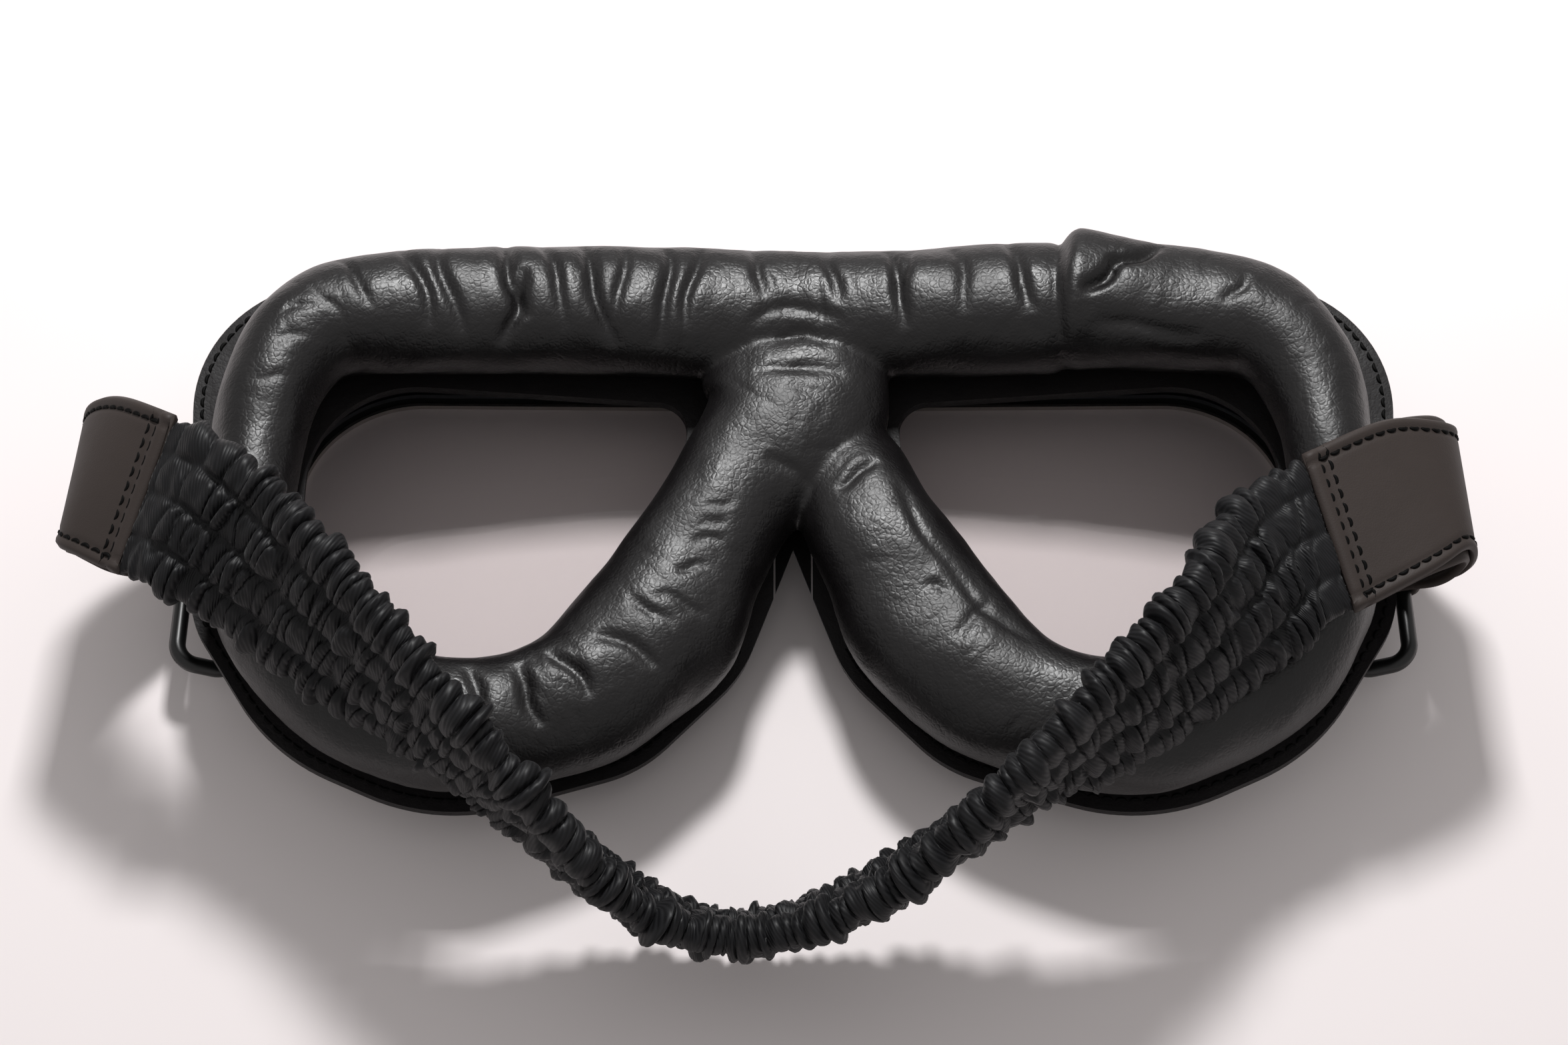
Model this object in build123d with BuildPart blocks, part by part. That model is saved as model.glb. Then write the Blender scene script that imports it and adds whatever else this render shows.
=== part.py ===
from build123d import *
import math
import os

os.makedirs("parts", exist_ok=True)

# Aviator flying goggles, lying on the front faces of their two metal rims.
# X runs across the face, Y up the face and Z from the lenses to the wearer.
# The origin lies midway between the lenses, on the plane of the rims' front faces.
# The right half is drawn and the left half is its mirror image.

# Face side of one half, measured from the nose line and the eye line
half_width = 93.0
brow_height = 44.8
lobe_depth = 46.5
pad_base = 9.0
temple_rise = 10.23
brow_rise = 4.928
slope_across = temple_rise / half_width
slope_up = brow_rise / brow_height

# Eye opening between the pads, inside bands of leather at the temple, the brow and the cheek
eye_near = 16.5
temple_band = 18.5
brow_band = 22.8
cheek_band = 21.5
eye_far = half_width - temple_band
eye_top = brow_height - brow_band
eye_bottom = lobe_depth - cheek_band

# How far the lens window reaches past the eye opening on each side
window_near = 2.0
window_far = 3.5
window_top = 7.5
window_bottom = 4.3

# Metal rim and what it holds
rim_depth = 6.5
rim_wall = 1.2
lip_width = 2.0
lip_thick = 1.0
gasket_thick = 0.6
lens_thick = 2.0
retainer_thick = 1.0
seat_gap = 0.1
edge_gap = 0.3

# Leather mask
leather = 1.2
flare_near = 2.5
flare_far = 6.0
flare_top = 6.0
flare_bottom = 8.0
flange_thick = 1.8
fold_gap = 3.0

# Padded roll
roll_height = 13.5
roll_crown = 5.5
roll_foot = 2.4
cover_thick = 1.0
foam_gap = 0.2
roll_top_set_back = 2.2
roll_side_set_back = 0.5
nose_half = 11.0
soft_gap = 0.3
dome_radius = 8.5
dome_top = 26.0
dome_bottom = 4.5
dome_lift = 0.4

# Nose bridge
bridge_middle = 16.0
bridge_height = 14.0
bridge_axis_z = 5.0
screw_radius = 1.5
knuckle_wall = 1.1
knuckle_gap = 0.3
running_gap = 0.05
fixed_gap = 0.02
bracket_thick = 1.8
screw_head_radius = 2.4
screw_head_thick = 1.4
screw_slot_width = 0.6
screw_slot_depth = 0.6
nut_across_flats = 4.8
nut_thick = 2.0

# Side loop of wire, on a lug at the temple side of the rim
wire_radius = 1.25
wire_bend = 3.0
loop_middle = -4.0
loop_reach = 8.9
loop_tilt = 26.6
lug_length = 12.0
lug_wall = 1.1
lug_stand_off = 3.6
lug_axis_z = 5.0
web_thick = 2.4
wire_end_gap = 1.0

# Leather strap tab
tab_width = 25.0
tab_thick = 2.4
tab_leaf_gap = 0.05
tab_eye_wall = 1.2
tab_rise = 29.2
tab_run = 17.0
tab_sweep = 11.3
tab_end_gap = 1.0
left_tab_turn = 20.0

# Elastic strap in its ruched sleeve
sleeve_width = 23.5
sleeve_thick = 7.4
sleeve_end_thick = 3.6
sleeve_taper = 12.0
pleat_pitch = 3.4
pleat_depth = 0.7
elastic_width = 18.0
elastic_thick = 1.4
elastic_gap = 0.2
strap_reach = 66.6
strap_crest = 41.0
strap_split_share = 0.3
strap_lead = 3.0
seam_gap = 0.3
sewn_gap = 0.1

# Corners of the flange: shares of the half width, then of the brow height or the lobe depth,
# then the corner's radius as a share of the half width
flange_shares = [
    (-0.075, 1.0, 0), (1.012, 0.85, 0.24), (0.963, -0.398, 0.173), (0.818, -0.827, 0.324),
    (0.553, -1.039, 0.33), (0.239, -0.828, 0.231), (0.082, -0.494, 0.23), (-0.075, 0.407, 0),
]
roll_shares = [
    (-0.075, 1.0, 0), (0.952, 0.85, 0.215), (0.912, -0.491, 0.147), (0.82, -0.782, 0.282),
    (0.567, -1.003, 0.314), (0.245, -0.81, 0.397), (0.089, -0.452, 0.222), (-0.075, 0.536, 0),
]
# Corners of an eye outline: shares of its own width and of its height above or below the eye
# line, then the corner's radius as a share of its width
eye_shares = [
    (0, 0.98, 0.078), (1, 1, 0.293), (1, -1, 0.41), (0.405, -1, 0.27), (0.017, 0.386, 0.34),
]
# A corner is rounded for an eye at most this many times as wide as its upper or lower part is high
corner_wide_share = 2.65

pad_normal = (-slope_across, -slope_up, 1)
pad_plane = Plane(origin=(0, 0, pad_base), x_dir=(1, 0, slope_across), z_dir=pad_normal)
roll_plane = pad_plane.offset(flange_thick)


def face_outline(shares, mode=Mode.ADD):
    """A closed outline with rounded corners, from shares of the half's own sizes."""
    points = []
    for across, up, radius in shares:
        height = brow_height if up > 0 else lobe_depth
        points.append((across * half_width, up * height))
    with BuildLine() as edge:
        FilletPolyline(*points, radius=[r * half_width for _, _, r in shares], close=True)
    make_face(edge.edges(), mode=mode)


def eye_outline(near, far, top, bottom, mode=Mode.ADD):
    """An eye shaped outline between four limits, measured from the nose and eye lines."""
    width = far - near
    points = []
    radii = []
    for across, up, radius in eye_shares:
        height = top if up > 0 else bottom
        points.append((near + across * width, up * height))
        radii.append(radius * min(width, corner_wide_share * height))
    with BuildLine() as edge:
        FilletPolyline(*points, radius=radii, close=True)
    make_face(edge.edges(), mode=mode)


def opening_outline(grow=0, mode=Mode.ADD):
    """The eye opening in the flange, grown all round."""
    eye_outline(eye_near - grow, eye_far + grow, eye_top + grow, eye_bottom + grow, mode)


def window_outline(grow=0, mode=Mode.ADD):
    """The clear lens window inside the rim's lip, grown all round."""
    eye_outline(
        eye_near - window_near - grow,
        eye_far + window_far + grow,
        eye_top + window_top + grow,
        eye_bottom + window_bottom + grow,
        mode,
    )


def flare_outline(shrink=0):
    """The end of the leather wall at the flange, flared out from the rim by its own amounts."""
    reach = lip_width - shrink
    eye_outline(
        eye_near - window_near - reach - flare_near,
        eye_far + window_far + reach + flare_far,
        eye_top + window_top + reach + flare_top,
        eye_bottom + window_bottom + reach + flare_bottom,
    )


def roll_opening(shrink=0, mode=Mode.ADD):
    """The eye side of the padded roll, which stands back from the flange's edge."""
    side = roll_side_set_back + shrink
    eye_outline(
        eye_near - side, eye_far + side, eye_top + roll_top_set_back + shrink,
        eye_bottom + side, mode,
    )


def roll_body(inset):
    """The padded roll of the right half with a crowned top, thinner all round by the inset."""
    with BuildSketch(roll_plane.offset(inset)) as ring:
        face_outline(roll_shares)
        if inset > 0:
            offset(amount=-inset, kind=Kind.INTERSECTION, mode=Mode.REPLACE)
        roll_opening(inset, mode=Mode.SUBTRACT)
    extrude(ring.sketch, amount=roll_height - 2 * inset, dir=roll_plane.z_dir)


def roll_faces(part):
    """The flat faces under and on top of a roll, lowest first."""
    across = Axis(roll_plane.origin, roll_plane.z_dir)
    return part.faces().filter_by(across).sort_by(across)


def soften(part, inset):
    """Round the roll's top edges into a crown and its lower edges into a foot."""
    fillet(roll_faces(part)[-1].edges(), radius=roll_crown - inset)
    fillet(roll_faces(part)[0].edges(), radius=roll_foot - inset)


def take_side(side):
    """Keep the right half as drawn, or turn it into the left half."""
    if side == "left":
        mirror(about=Plane.YZ, mode=Mode.REPLACE)


# Places along the depth of the rim, from the table up
gasket_z = lip_thick
lens_z = gasket_z + gasket_thick
retainer_z = lens_z + lens_thick
skirt_z = retainer_z + retainer_thick

# The rim's outer limits
rim_grow = lip_width + rim_wall
rim_side_x = eye_far + window_far + rim_grow
lug_x = rim_side_x + lug_stand_off

# The loop's bar, about which the strap tab swings
loop_direction = (math.cos(math.radians(loop_tilt)), 0, math.sin(math.radians(loop_tilt)))
loop_plane = Plane(
    origin=(lug_x, loop_middle, lug_axis_z),
    x_dir=loop_direction,
    z_dir=(-loop_direction[2], 0, loop_direction[0]),
)
bar_x = lug_x + loop_reach * loop_direction[0]
bar_z = lug_axis_z + loop_reach * loop_direction[2]
eye_bore = wire_radius + running_gap
loop_half = tab_width / 2 + tab_end_gap + wire_bend
lug_radius = wire_radius + fixed_gap + lug_wall

for side in ("left", "right"):
    # Pressed metal rim with a front lip
    with BuildPart() as rim:
        with BuildSketch():
            window_outline(rim_grow)
        extrude(amount=rim_depth)
        with BuildSketch(Plane.XY.offset(lip_thick)):
            window_outline(lip_width)
        extrude(amount=rim_depth - lip_thick, mode=Mode.SUBTRACT)
        with BuildSketch():
            window_outline()
        extrude(amount=lip_thick, mode=Mode.SUBTRACT)
        take_side(side)
    rim.part.label = f"{side}_rim"
    export_step(rim.part, f"parts/{side}_rim.step")

    # Soft gasket between lip and lens
    with BuildPart() as gasket:
        with BuildSketch(Plane.XY.offset(gasket_z)):
            window_outline(lip_width - seat_gap)
            window_outline(seat_gap, mode=Mode.SUBTRACT)
        extrude(amount=gasket_thick)
        take_side(side)
    gasket.part.label = f"{side}_lens_gasket"
    export_step(gasket.part, f"parts/{side}_lens_gasket.step")

    # Clear flat lens
    with BuildPart() as lens:
        with BuildSketch(Plane.XY.offset(lens_z)):
            window_outline(lip_width - edge_gap)
        extrude(amount=lens_thick)
        take_side(side)
    lens.part.label = f"{side}_lens"
    export_step(lens.part, f"parts/{side}_lens.step")

    # Spring ring that keeps the lens in the rim
    with BuildPart() as retainer:
        with BuildSketch(Plane.XY.offset(retainer_z)):
            window_outline(lip_width - seat_gap)
            window_outline(edge_gap, mode=Mode.SUBTRACT)
        extrude(amount=retainer_thick)
        take_side(side)
    retainer.part.label = f"{side}_lens_retainer"
    export_step(retainer.part, f"parts/{side}_lens_retainer.step")

    # Leather wall from inside the rim out to the flange
    with BuildPart() as wall:
        with BuildSketch(Plane.XY.offset(skirt_z)):
            window_outline(lip_width - seat_gap)
            window_outline(lip_width - seat_gap - leather, mode=Mode.SUBTRACT)
        extrude(amount=rim_depth - skirt_z)
        with BuildSketch(Plane.XY.offset(rim_depth)):
            window_outline(lip_width - seat_gap)
        with BuildSketch(pad_plane):
            flare_outline()
        loft(ruled=True)
        with BuildSketch(Plane.XY.offset(rim_depth)):
            window_outline(lip_width - seat_gap - leather)
        with BuildSketch(pad_plane):
            flare_outline(leather)
        loft(ruled=True, mode=Mode.SUBTRACT)
        take_side(side)
    wall.part.label = f"{side}_mask_wall"
    export_step(wall.part, f"parts/{side}_mask_wall.step")

    # Stitched leather flange that carries the roll
    with BuildPart() as flange:
        with BuildSketch(pad_plane):
            face_outline(flange_shares)
            opening_outline(mode=Mode.SUBTRACT)
        extrude(amount=flange_thick, dir=pad_plane.z_dir)
        split(bisect_by=Plane.YZ.offset(fold_gap), keep=Keep.TOP)
        take_side(side)
    flange.part.label = f"{side}_flange"
    export_step(flange.part, f"parts/{side}_flange.step")

    # Foam inside the padded roll
    with BuildPart() as foam:
        roll_body(cover_thick + foam_gap)
        soften(foam, cover_thick + foam_gap)
        split(bisect_by=Plane.YZ.offset(nose_half), keep=Keep.TOP)
        take_side(side)
    foam.part.label = f"{side}_pad_foam"
    export_step(foam.part, f"parts/{side}_pad_foam.step")

    # Leather cover of the padded roll
    with BuildPart() as hollow:
        roll_body(cover_thick)
        soften(hollow, cover_thick)
    with BuildPart() as cover:
        roll_body(0)
        soften(cover, 0)
        add(hollow.part, mode=Mode.SUBTRACT)
        split(bisect_by=Plane.YZ.offset(nose_half), keep=Keep.TOP)
        take_side(side)
    cover.part.label = f"{side}_pad_cover"
    export_step(cover.part, f"parts/{side}_pad_cover.step")

    # Lug on the temple side of the rim
    with BuildPart() as lug:
        with BuildSketch(Plane.XZ.offset(-loop_middle - lug_length / 2)):
            with Locations((lug_x, lug_axis_z)):
                Circle(lug_radius)
            with Locations(((lug_x + rim_side_x - rim_wall) / 2, lug_axis_z)):
                Rectangle(lug_stand_off + rim_wall, web_thick)
            with Locations((lug_x, lug_axis_z)):
                Circle(wire_radius + fixed_gap, mode=Mode.SUBTRACT)
        extrude(amount=lug_length)
        with BuildSketch():
            window_outline(rim_grow)
        extrude(amount=rim_depth, mode=Mode.SUBTRACT)
        take_side(side)
    lug.part.label = f"{side}_loop_lug"
    export_step(lug.part, f"parts/{side}_loop_lug.step")

    # Rectangular wire loop whose ends are fixed in the lug
    with BuildPart() as loop:
        with BuildLine(loop_plane):
            FilletPolyline(
                (0, wire_end_gap), (0, loop_half), (loop_reach, loop_half),
                (loop_reach, -loop_half), (0, -loop_half), (0, -wire_end_gap),
                radius=wire_bend,
            )
        with BuildSketch(Plane(
            origin=(lug_x, loop_middle + wire_end_gap, lug_axis_z), z_dir=(0, 1, 0),
        )):
            Circle(wire_radius)
        sweep()
        take_side(side)
    loop.part.label = f"{side}_wire_loop"
    export_step(loop.part, f"parts/{side}_wire_loop.step")

# Leather on the nose: the middle of the roll, its dome and the tops of the nose sides
dome_axis = (0, 1, slope_up)


def nose_body(inset):
    """The roll between the two halves with the dome that runs down the nose."""
    reach = nose_half - soft_gap - inset
    with BuildPart() as nose_side:
        roll_body(inset)
        soften(nose_side, inset)
        split(bisect_by=Plane.YZ, keep=Keep.TOP)
        split(bisect_by=Plane.YZ.offset(reach), keep=Keep.BOTTOM)
    radius = dome_radius - inset
    flange_top = pad_base + slope_up * dome_bottom + flange_thick
    dome_low = Vector(0, dome_bottom, flange_top + dome_radius + dome_lift)
    dome_plane = Plane(origin=dome_low, z_dir=dome_axis)
    with BuildPart() as nose:
        add(nose_side.part)
        mirror(about=Plane.YZ)
        with Locations(dome_plane):
            Sphere(radius)
            Cylinder(radius, dome_top - dome_bottom,
                     align=(Align.CENTER, Align.CENTER, Align.MIN))
        with Locations(dome_plane.offset(dome_top - dome_bottom)):
            Sphere(radius)
    return nose.part


with BuildPart() as nose_foam:
    add(nose_body(cover_thick + foam_gap))
nose_foam.part.label = "nose_pad_foam"
export_step(nose_foam.part, "parts/nose_pad_foam.step")

with BuildPart() as nose_cover:
    add(nose_body(0))
    add(nose_body(cover_thick), mode=Mode.SUBTRACT)
nose_cover.part.label = "nose_pad_cover"
export_step(nose_cover.part, "parts/nose_pad_cover.step")

# Leather web that joins the two flanges over the nose
with BuildPart() as web:
    with BuildSketch(pad_plane):
        face_outline(flange_shares)
    extrude(amount=flange_thick, dir=pad_plane.z_dir)
    split(bisect_by=Plane.YZ, keep=Keep.TOP)
    split(bisect_by=Plane.YZ.offset(fold_gap - soft_gap), keep=Keep.BOTTOM)
    mirror(about=Plane.YZ)
web.part.label = "nose_web"
export_step(web.part, "parts/nose_web.step")

# Hinged nose bridge: two brackets, a screw as the pin, and its nut
knuckle_radius = screw_radius + running_gap + knuckle_wall
bracket_reach = eye_near - window_near - lip_width
third = bridge_height / 3
bridge_low = bridge_middle - bridge_height / 2


def bracket(spans, bore):
    """A flat plate on the right of the pin, with knuckles at the given spans along Y."""
    for low, high in spans:
        with BuildSketch(Plane.XZ.offset(-high)) as knuckle:
            with Locations((0, bridge_axis_z)):
                Circle(knuckle_radius)
            with Locations((knuckle_radius, bridge_axis_z)):
                Rectangle(2 * knuckle_radius, bracket_thick)
            with Locations((0, bridge_axis_z)):
                Circle(bore, mode=Mode.SUBTRACT)
        extrude(knuckle.sketch, amount=high - low)
    with BuildSketch(Plane.XZ.offset(-bridge_low - bridge_height)) as plate:
        plate_start = knuckle_radius + knuckle_gap
        with Locations(((plate_start + bracket_reach) / 2, bridge_axis_z)):
            Rectangle(bracket_reach - plate_start, bracket_thick)
    extrude(plate.sketch, amount=bridge_height)
    with BuildSketch() as rim_outline:
        window_outline(rim_grow)
    extrude(rim_outline.sketch, amount=rim_depth, mode=Mode.SUBTRACT)


with BuildPart() as left_bracket:
    bracket(
        [(bridge_low, bridge_low + third - knuckle_gap / 2),
         (bridge_low + 2 * third + knuckle_gap / 2, bridge_low + bridge_height)],
        screw_radius + fixed_gap,
    )
    mirror(about=Plane.YZ, mode=Mode.REPLACE)
left_bracket.part.label = "left_bridge_bracket"
export_step(left_bracket.part, "parts/left_bridge_bracket.step")

with BuildPart() as right_bracket:
    bracket(
        [(bridge_low + third + knuckle_gap / 2, bridge_low + 2 * third - knuckle_gap / 2)],
        screw_radius + running_gap,
    )
right_bracket.part.label = "right_bridge_bracket"
export_step(right_bracket.part, "parts/right_bridge_bracket.step")

bridge_top = bridge_low + bridge_height
with BuildPart() as screw:
    with BuildSketch(Plane.XZ.offset(-bridge_top)):
        with Locations((0, bridge_axis_z)):
            Circle(screw_radius)
    extrude(amount=bridge_height + nut_thick)
    with BuildSketch(Plane.XZ.offset(-bridge_top - screw_head_thick)):
        with Locations((0, bridge_axis_z)):
            Circle(screw_head_radius)
    extrude(amount=screw_head_thick)
    with BuildSketch(Plane.XZ.offset(-bridge_top - screw_head_thick)):
        with Locations((0, bridge_axis_z)):
            Rectangle(2 * screw_head_radius, screw_slot_width)
    extrude(amount=screw_slot_depth, mode=Mode.SUBTRACT)
screw.part.label = "bridge_screw"
export_step(screw.part, "parts/bridge_screw.step")

with BuildPart() as nut:
    with BuildSketch(Plane.XZ.offset(-bridge_low)):
        with Locations((0, bridge_axis_z)):
            RegularPolygon(nut_across_flats / 2, 6, major_radius=False)
            Circle(screw_radius + fixed_gap, mode=Mode.SUBTRACT)
    extrude(amount=nut_thick)
nut.part.label = "bridge_nut"
export_step(nut.part, "parts/bridge_nut.step")

# Strap tabs. The middle line of a tab in shares of its run, sweep and rise from the bar, and
# the direction of its width
tab_shares = [
    ((0, 0, 0.06), (0, 1, 0)),
    ((-0.13, 0, 0.38), (0, 1, 0)),
    ((-0.22, 0, 0.68), (0, 1, 0)),
    ((-0.215, 0.05, 0.83), (-0.03, 1, 0)),
    ((-0.04, 0.18, 0.935), (-0.18, 0.98, 0.08)),
    ((0.235, 0.39, 0.985), (-0.30, 0.93, 0.16)),
    ((0.62, 0.70, 1.005), (-0.40, 0.88, 0.22)),
    ((1, 1, 1), (-0.42, 0.86, 0.28)),
]


def tab_frames(turn):
    """Middle points, travel directions and width directions along a right tab, swung out."""
    swing = Axis((bar_x, loop_middle, bar_z), (0, 1, 0))
    centres = []
    widths = []
    for (run, sweep_share, rise), width in tab_shares:
        centre = Vector(
            bar_x - run * tab_run, loop_middle - sweep_share * tab_sweep, bar_z + rise * tab_rise
        )
        centres.append(turned_point(centre, swing, turn))
        widths.append(Vector(*width).normalized().rotate(swing, turn))
    return centres, widths


def turned_point(point, axis, angle):
    """A point turned about an axis that doesn't pass through the origin."""
    return (point - axis.position).rotate(Axis((0, 0, 0), axis.direction), angle) + axis.position


def travel(centres, index):
    """The direction of travel at a point of a line of points."""
    before = centres[max(index - 1, 0)]
    after = centres[min(index + 1, len(centres) - 1)]
    return (after - before).normalized()


def section_plane(centre, along, across):
    """A plane across the travel, with its X along the width and its Y through the thickness."""
    flat = (across - along * across.dot(along)).normalized()
    return Plane(origin=centre, x_dir=flat, z_dir=along)


def leaf(centres, widths, low, high):
    """One leaf of a tab between two heights of its thickness."""
    sections = []
    for index, centre in enumerate(centres):
        plane = section_plane(centre, travel(centres, index), widths[index])
        with BuildSketch(plane) as section:
            with Locations((0, (low + high) / 2)):
                Rectangle(tab_width, high - low)
        sections.append(section.sketch.face())
    loft(sections, ruled=True)


for side, turn in (("left", left_tab_turn), ("right", 0)):
    tab_centres, tab_widths = tab_frames(turn)
    # Outer leaf, wrapped round the bar
    with BuildPart() as tab:
        leaf(tab_centres, tab_widths, -tab_thick / 2, -tab_leaf_gap)
        with BuildSketch(Plane.XZ.offset(-loop_middle - tab_width / 2)):
            with Locations((bar_x, bar_z)):
                Circle(eye_bore + tab_eye_wall)
        extrude(amount=tab_width)
        with BuildSketch(Plane.XZ.offset(-loop_middle - tab_width / 2)):
            with Locations((bar_x, bar_z)):
                Circle(eye_bore)
        extrude(amount=tab_width, mode=Mode.SUBTRACT)
        take_side(side)
    tab.part.label = f"{side}_strap_tab"
    export_step(tab.part, f"parts/{side}_strap_tab.step")

    # Lining leaf, sewn to the outer leaf above the bar
    with BuildPart() as lining:
        leaf(tab_centres, tab_widths, tab_leaf_gap, tab_thick / 2)
        with BuildSketch(Plane.XZ.offset(-loop_middle - tab_width / 2)):
            with Locations((bar_x, bar_z)):
                Circle(eye_bore + tab_eye_wall + tab_leaf_gap)
        extrude(amount=tab_width, mode=Mode.SUBTRACT)
        take_side(side)
    lining.part.label = f"{side}_tab_lining"
    export_step(lining.part, f"parts/{side}_tab_lining.step")

# Strap route from the left tab to the right tab: across as a share of the tab's end distance,
# down the face as a share of the reach, up as a share of the crest, then the width direction
strap_shares = [
    ((-1.025, -0.308, 1.05), (0.45, 0.62, 0.64)),
    ((-0.875, -0.452, 1.03), (0.47, 0.29, 0.84)),
    ((-0.675, -0.656, 0.963), (0.36, -0.10, 0.93)),
    ((-0.499, -0.823, 0.805), (0.22, -0.28, 0.93)),
    ((-0.304, -0.946, 0.488), (0, -0.45, 0.89)),
    ((-0.112, -1.0, 0.366), (0, -0.40, 0.92)),
    ((0.057, -0.974, 0.439), (0, -0.45, 0.89)),
    ((0.211, -0.913, 0.585), (0, -0.45, 0.89)),
    ((0.439, -0.778, 0.866), (-0.17, -0.24, 0.96)),
    ((0.587, -0.664, 0.939), (-0.30, 0.05, 0.94)),
    ((0.809, -0.429, 0.975), (-0.44, 0.40, 0.80)),
]
right_centres, right_widths = tab_frames(0)
left_centres, left_widths = tab_frames(left_tab_turn)
strap_span = right_centres[-1].X


def flipped(vector):
    """A vector of the right half carried over to the left half."""
    return Vector(-vector.X, vector.Y, vector.Z)


left_out = flipped(travel(left_centres, len(left_centres) - 1))
right_out = travel(right_centres, len(right_centres) - 1)
left_start = flipped(left_centres[-1]) + left_out * seam_gap
right_start = right_centres[-1] + right_out * seam_gap
leads = [0, strap_lead / 3, strap_lead]
strap_points = [left_start + left_out * lead for lead in leads]
strap_widths = [flipped(left_widths[-1])] * len(leads)
for (across, down, up), width in strap_shares:
    strap_points.append(Vector(across * strap_span, down * strap_reach, up * strap_crest))
    strap_widths.append(Vector(*width).normalized())
strap_points += [right_start + right_out * lead for lead in reversed(leads)]
strap_widths += [right_widths[-1]] * len(leads)

with BuildLine() as route:
    Spline(*strap_points)
strap_line = route.edges()[0]
strap_length = strap_line.length
print(f"strap length between the tabs {strap_length:.1f}")

# Where each chosen width direction lies along the strap
marks = [0]
for before, after in zip(strap_points, strap_points[1:]):
    marks.append(marks[-1] + (after - before).length)
marks = [mark / marks[-1] for mark in marks]


def width_at(share):
    """The strap's width direction, blended between the chosen ones."""
    for index in range(len(marks) - 1):
        if share <= marks[index + 1]:
            part = (share - marks[index]) / (marks[index + 1] - marks[index])
            return (strap_widths[index] * (1 - part) + strap_widths[index + 1] * part).normalized()
    return strap_widths[-1]


def strap_plane(share):
    """A plane across the strap at a share of its length."""
    return section_plane(strap_line @ share, strap_line % share, width_at(share))


def sleeve_height(share):
    """The sleeve's thickness, which is least where it is sewn into the tabs."""
    from_end = min(share, 1 - share) * strap_length
    swell = min(from_end / sleeve_taper, 1)
    return sleeve_end_thick + (sleeve_thick - sleeve_end_thick) * swell


def sleeve(start, end):
    """The ruched sleeve between two shares of the length, with the elastic's channel."""
    steps = 2 * round((end - start) * strap_length / pleat_pitch)
    sections = []
    for step in range(steps + 1):
        share = start + (end - start) * step / steps
        shrink = pleat_depth * (step % 2)
        height = sleeve_height(share) - shrink
        with BuildSketch(strap_plane(share)) as section:
            RectangleRounded(sleeve_width - 2 * shrink, height, height / 3)
        sections.append(section.sketch.face())
    loft(sections, ruled=True)
    band(start, end, elastic_gap, Mode.SUBTRACT)


def band(start, end, grow, mode=Mode.ADD):
    """The flat elastic between two shares of the length, grown for its channel."""
    steps = round((end - start) * strap_length / pleat_pitch)
    sections = []
    for step in range(steps + 1):
        with BuildSketch(strap_plane(start + (end - start) * step / steps)) as section:
            Rectangle(elastic_width + 2 * grow, elastic_thick + 2 * grow)
        sections.append(section.sketch.face())
    loft(sections, ruled=True, mode=mode)


strap_gap_share = sewn_gap / strap_length
spans = {
    "left": (0, strap_split_share - strap_gap_share),
    "middle": (strap_split_share, 1 - strap_split_share),
    "right": (1 - strap_split_share + strap_gap_share, 1),
}
for name, (start, end) in spans.items():
    with BuildPart() as strap_sleeve:
        sleeve(start, end)
    strap_sleeve.part.label = f"{name}_strap_sleeve"
    export_step(strap_sleeve.part, f"parts/{name}_strap_sleeve.step")

    with BuildPart() as elastic:
        band(start, end, 0)
    elastic.part.label = f"{name}_strap_elastic"
    export_step(elastic.part, f"parts/{name}_strap_elastic.step")
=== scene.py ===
# %% [markdown]
# # Aviator flying goggles, lying on their lenses
#
# The padded side looks up: a stuffed roll of soft black leather runs round both
# eyes, two dark leather tabs stand at the temples, and a ruched strap joins them.
# The frame (rims, lenses, hinge, leather walls, wire loops) comes ready from the
# CAD model. This lesson dresses it: stuffed leather, gathered satin, sewn tabs,
# stitches, and finishes for every part of the frame.

# %% Start
import math

import bmesh
import bpy
import numpy as np
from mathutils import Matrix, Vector


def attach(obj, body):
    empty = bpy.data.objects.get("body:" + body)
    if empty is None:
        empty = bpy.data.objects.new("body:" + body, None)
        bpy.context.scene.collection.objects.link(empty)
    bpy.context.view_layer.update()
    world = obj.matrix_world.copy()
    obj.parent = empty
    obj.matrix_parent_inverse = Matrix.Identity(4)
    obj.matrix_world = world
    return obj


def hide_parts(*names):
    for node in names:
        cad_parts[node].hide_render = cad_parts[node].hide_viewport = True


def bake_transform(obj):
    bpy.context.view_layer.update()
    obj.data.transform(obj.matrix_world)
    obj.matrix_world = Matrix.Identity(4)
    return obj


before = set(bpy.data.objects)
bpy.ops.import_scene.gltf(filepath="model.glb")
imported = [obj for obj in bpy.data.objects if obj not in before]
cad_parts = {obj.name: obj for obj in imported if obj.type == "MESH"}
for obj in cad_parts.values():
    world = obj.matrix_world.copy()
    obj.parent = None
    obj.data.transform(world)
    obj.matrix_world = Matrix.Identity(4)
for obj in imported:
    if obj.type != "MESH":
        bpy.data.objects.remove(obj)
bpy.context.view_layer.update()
MM = 0.001

# %% [markdown]
# ## The camera
#
# The photograph looks down at 60 degrees from the strap's side, from about 430 mm,
# so the strap is nearer and larger than the brow. A 65 mm lens on a 36 mm sensor
# gives that perspective. Aiming the camera with to_track_quat keeps the horizon level.

# %% Camera
CAMERA_DISTANCE = 430
CAMERA_ELEVATION = math.radians(60)
CAMERA_LENS = 65
SENSOR_WIDTH = 36
AIM = Vector((-1.4, 0, 15))

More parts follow.
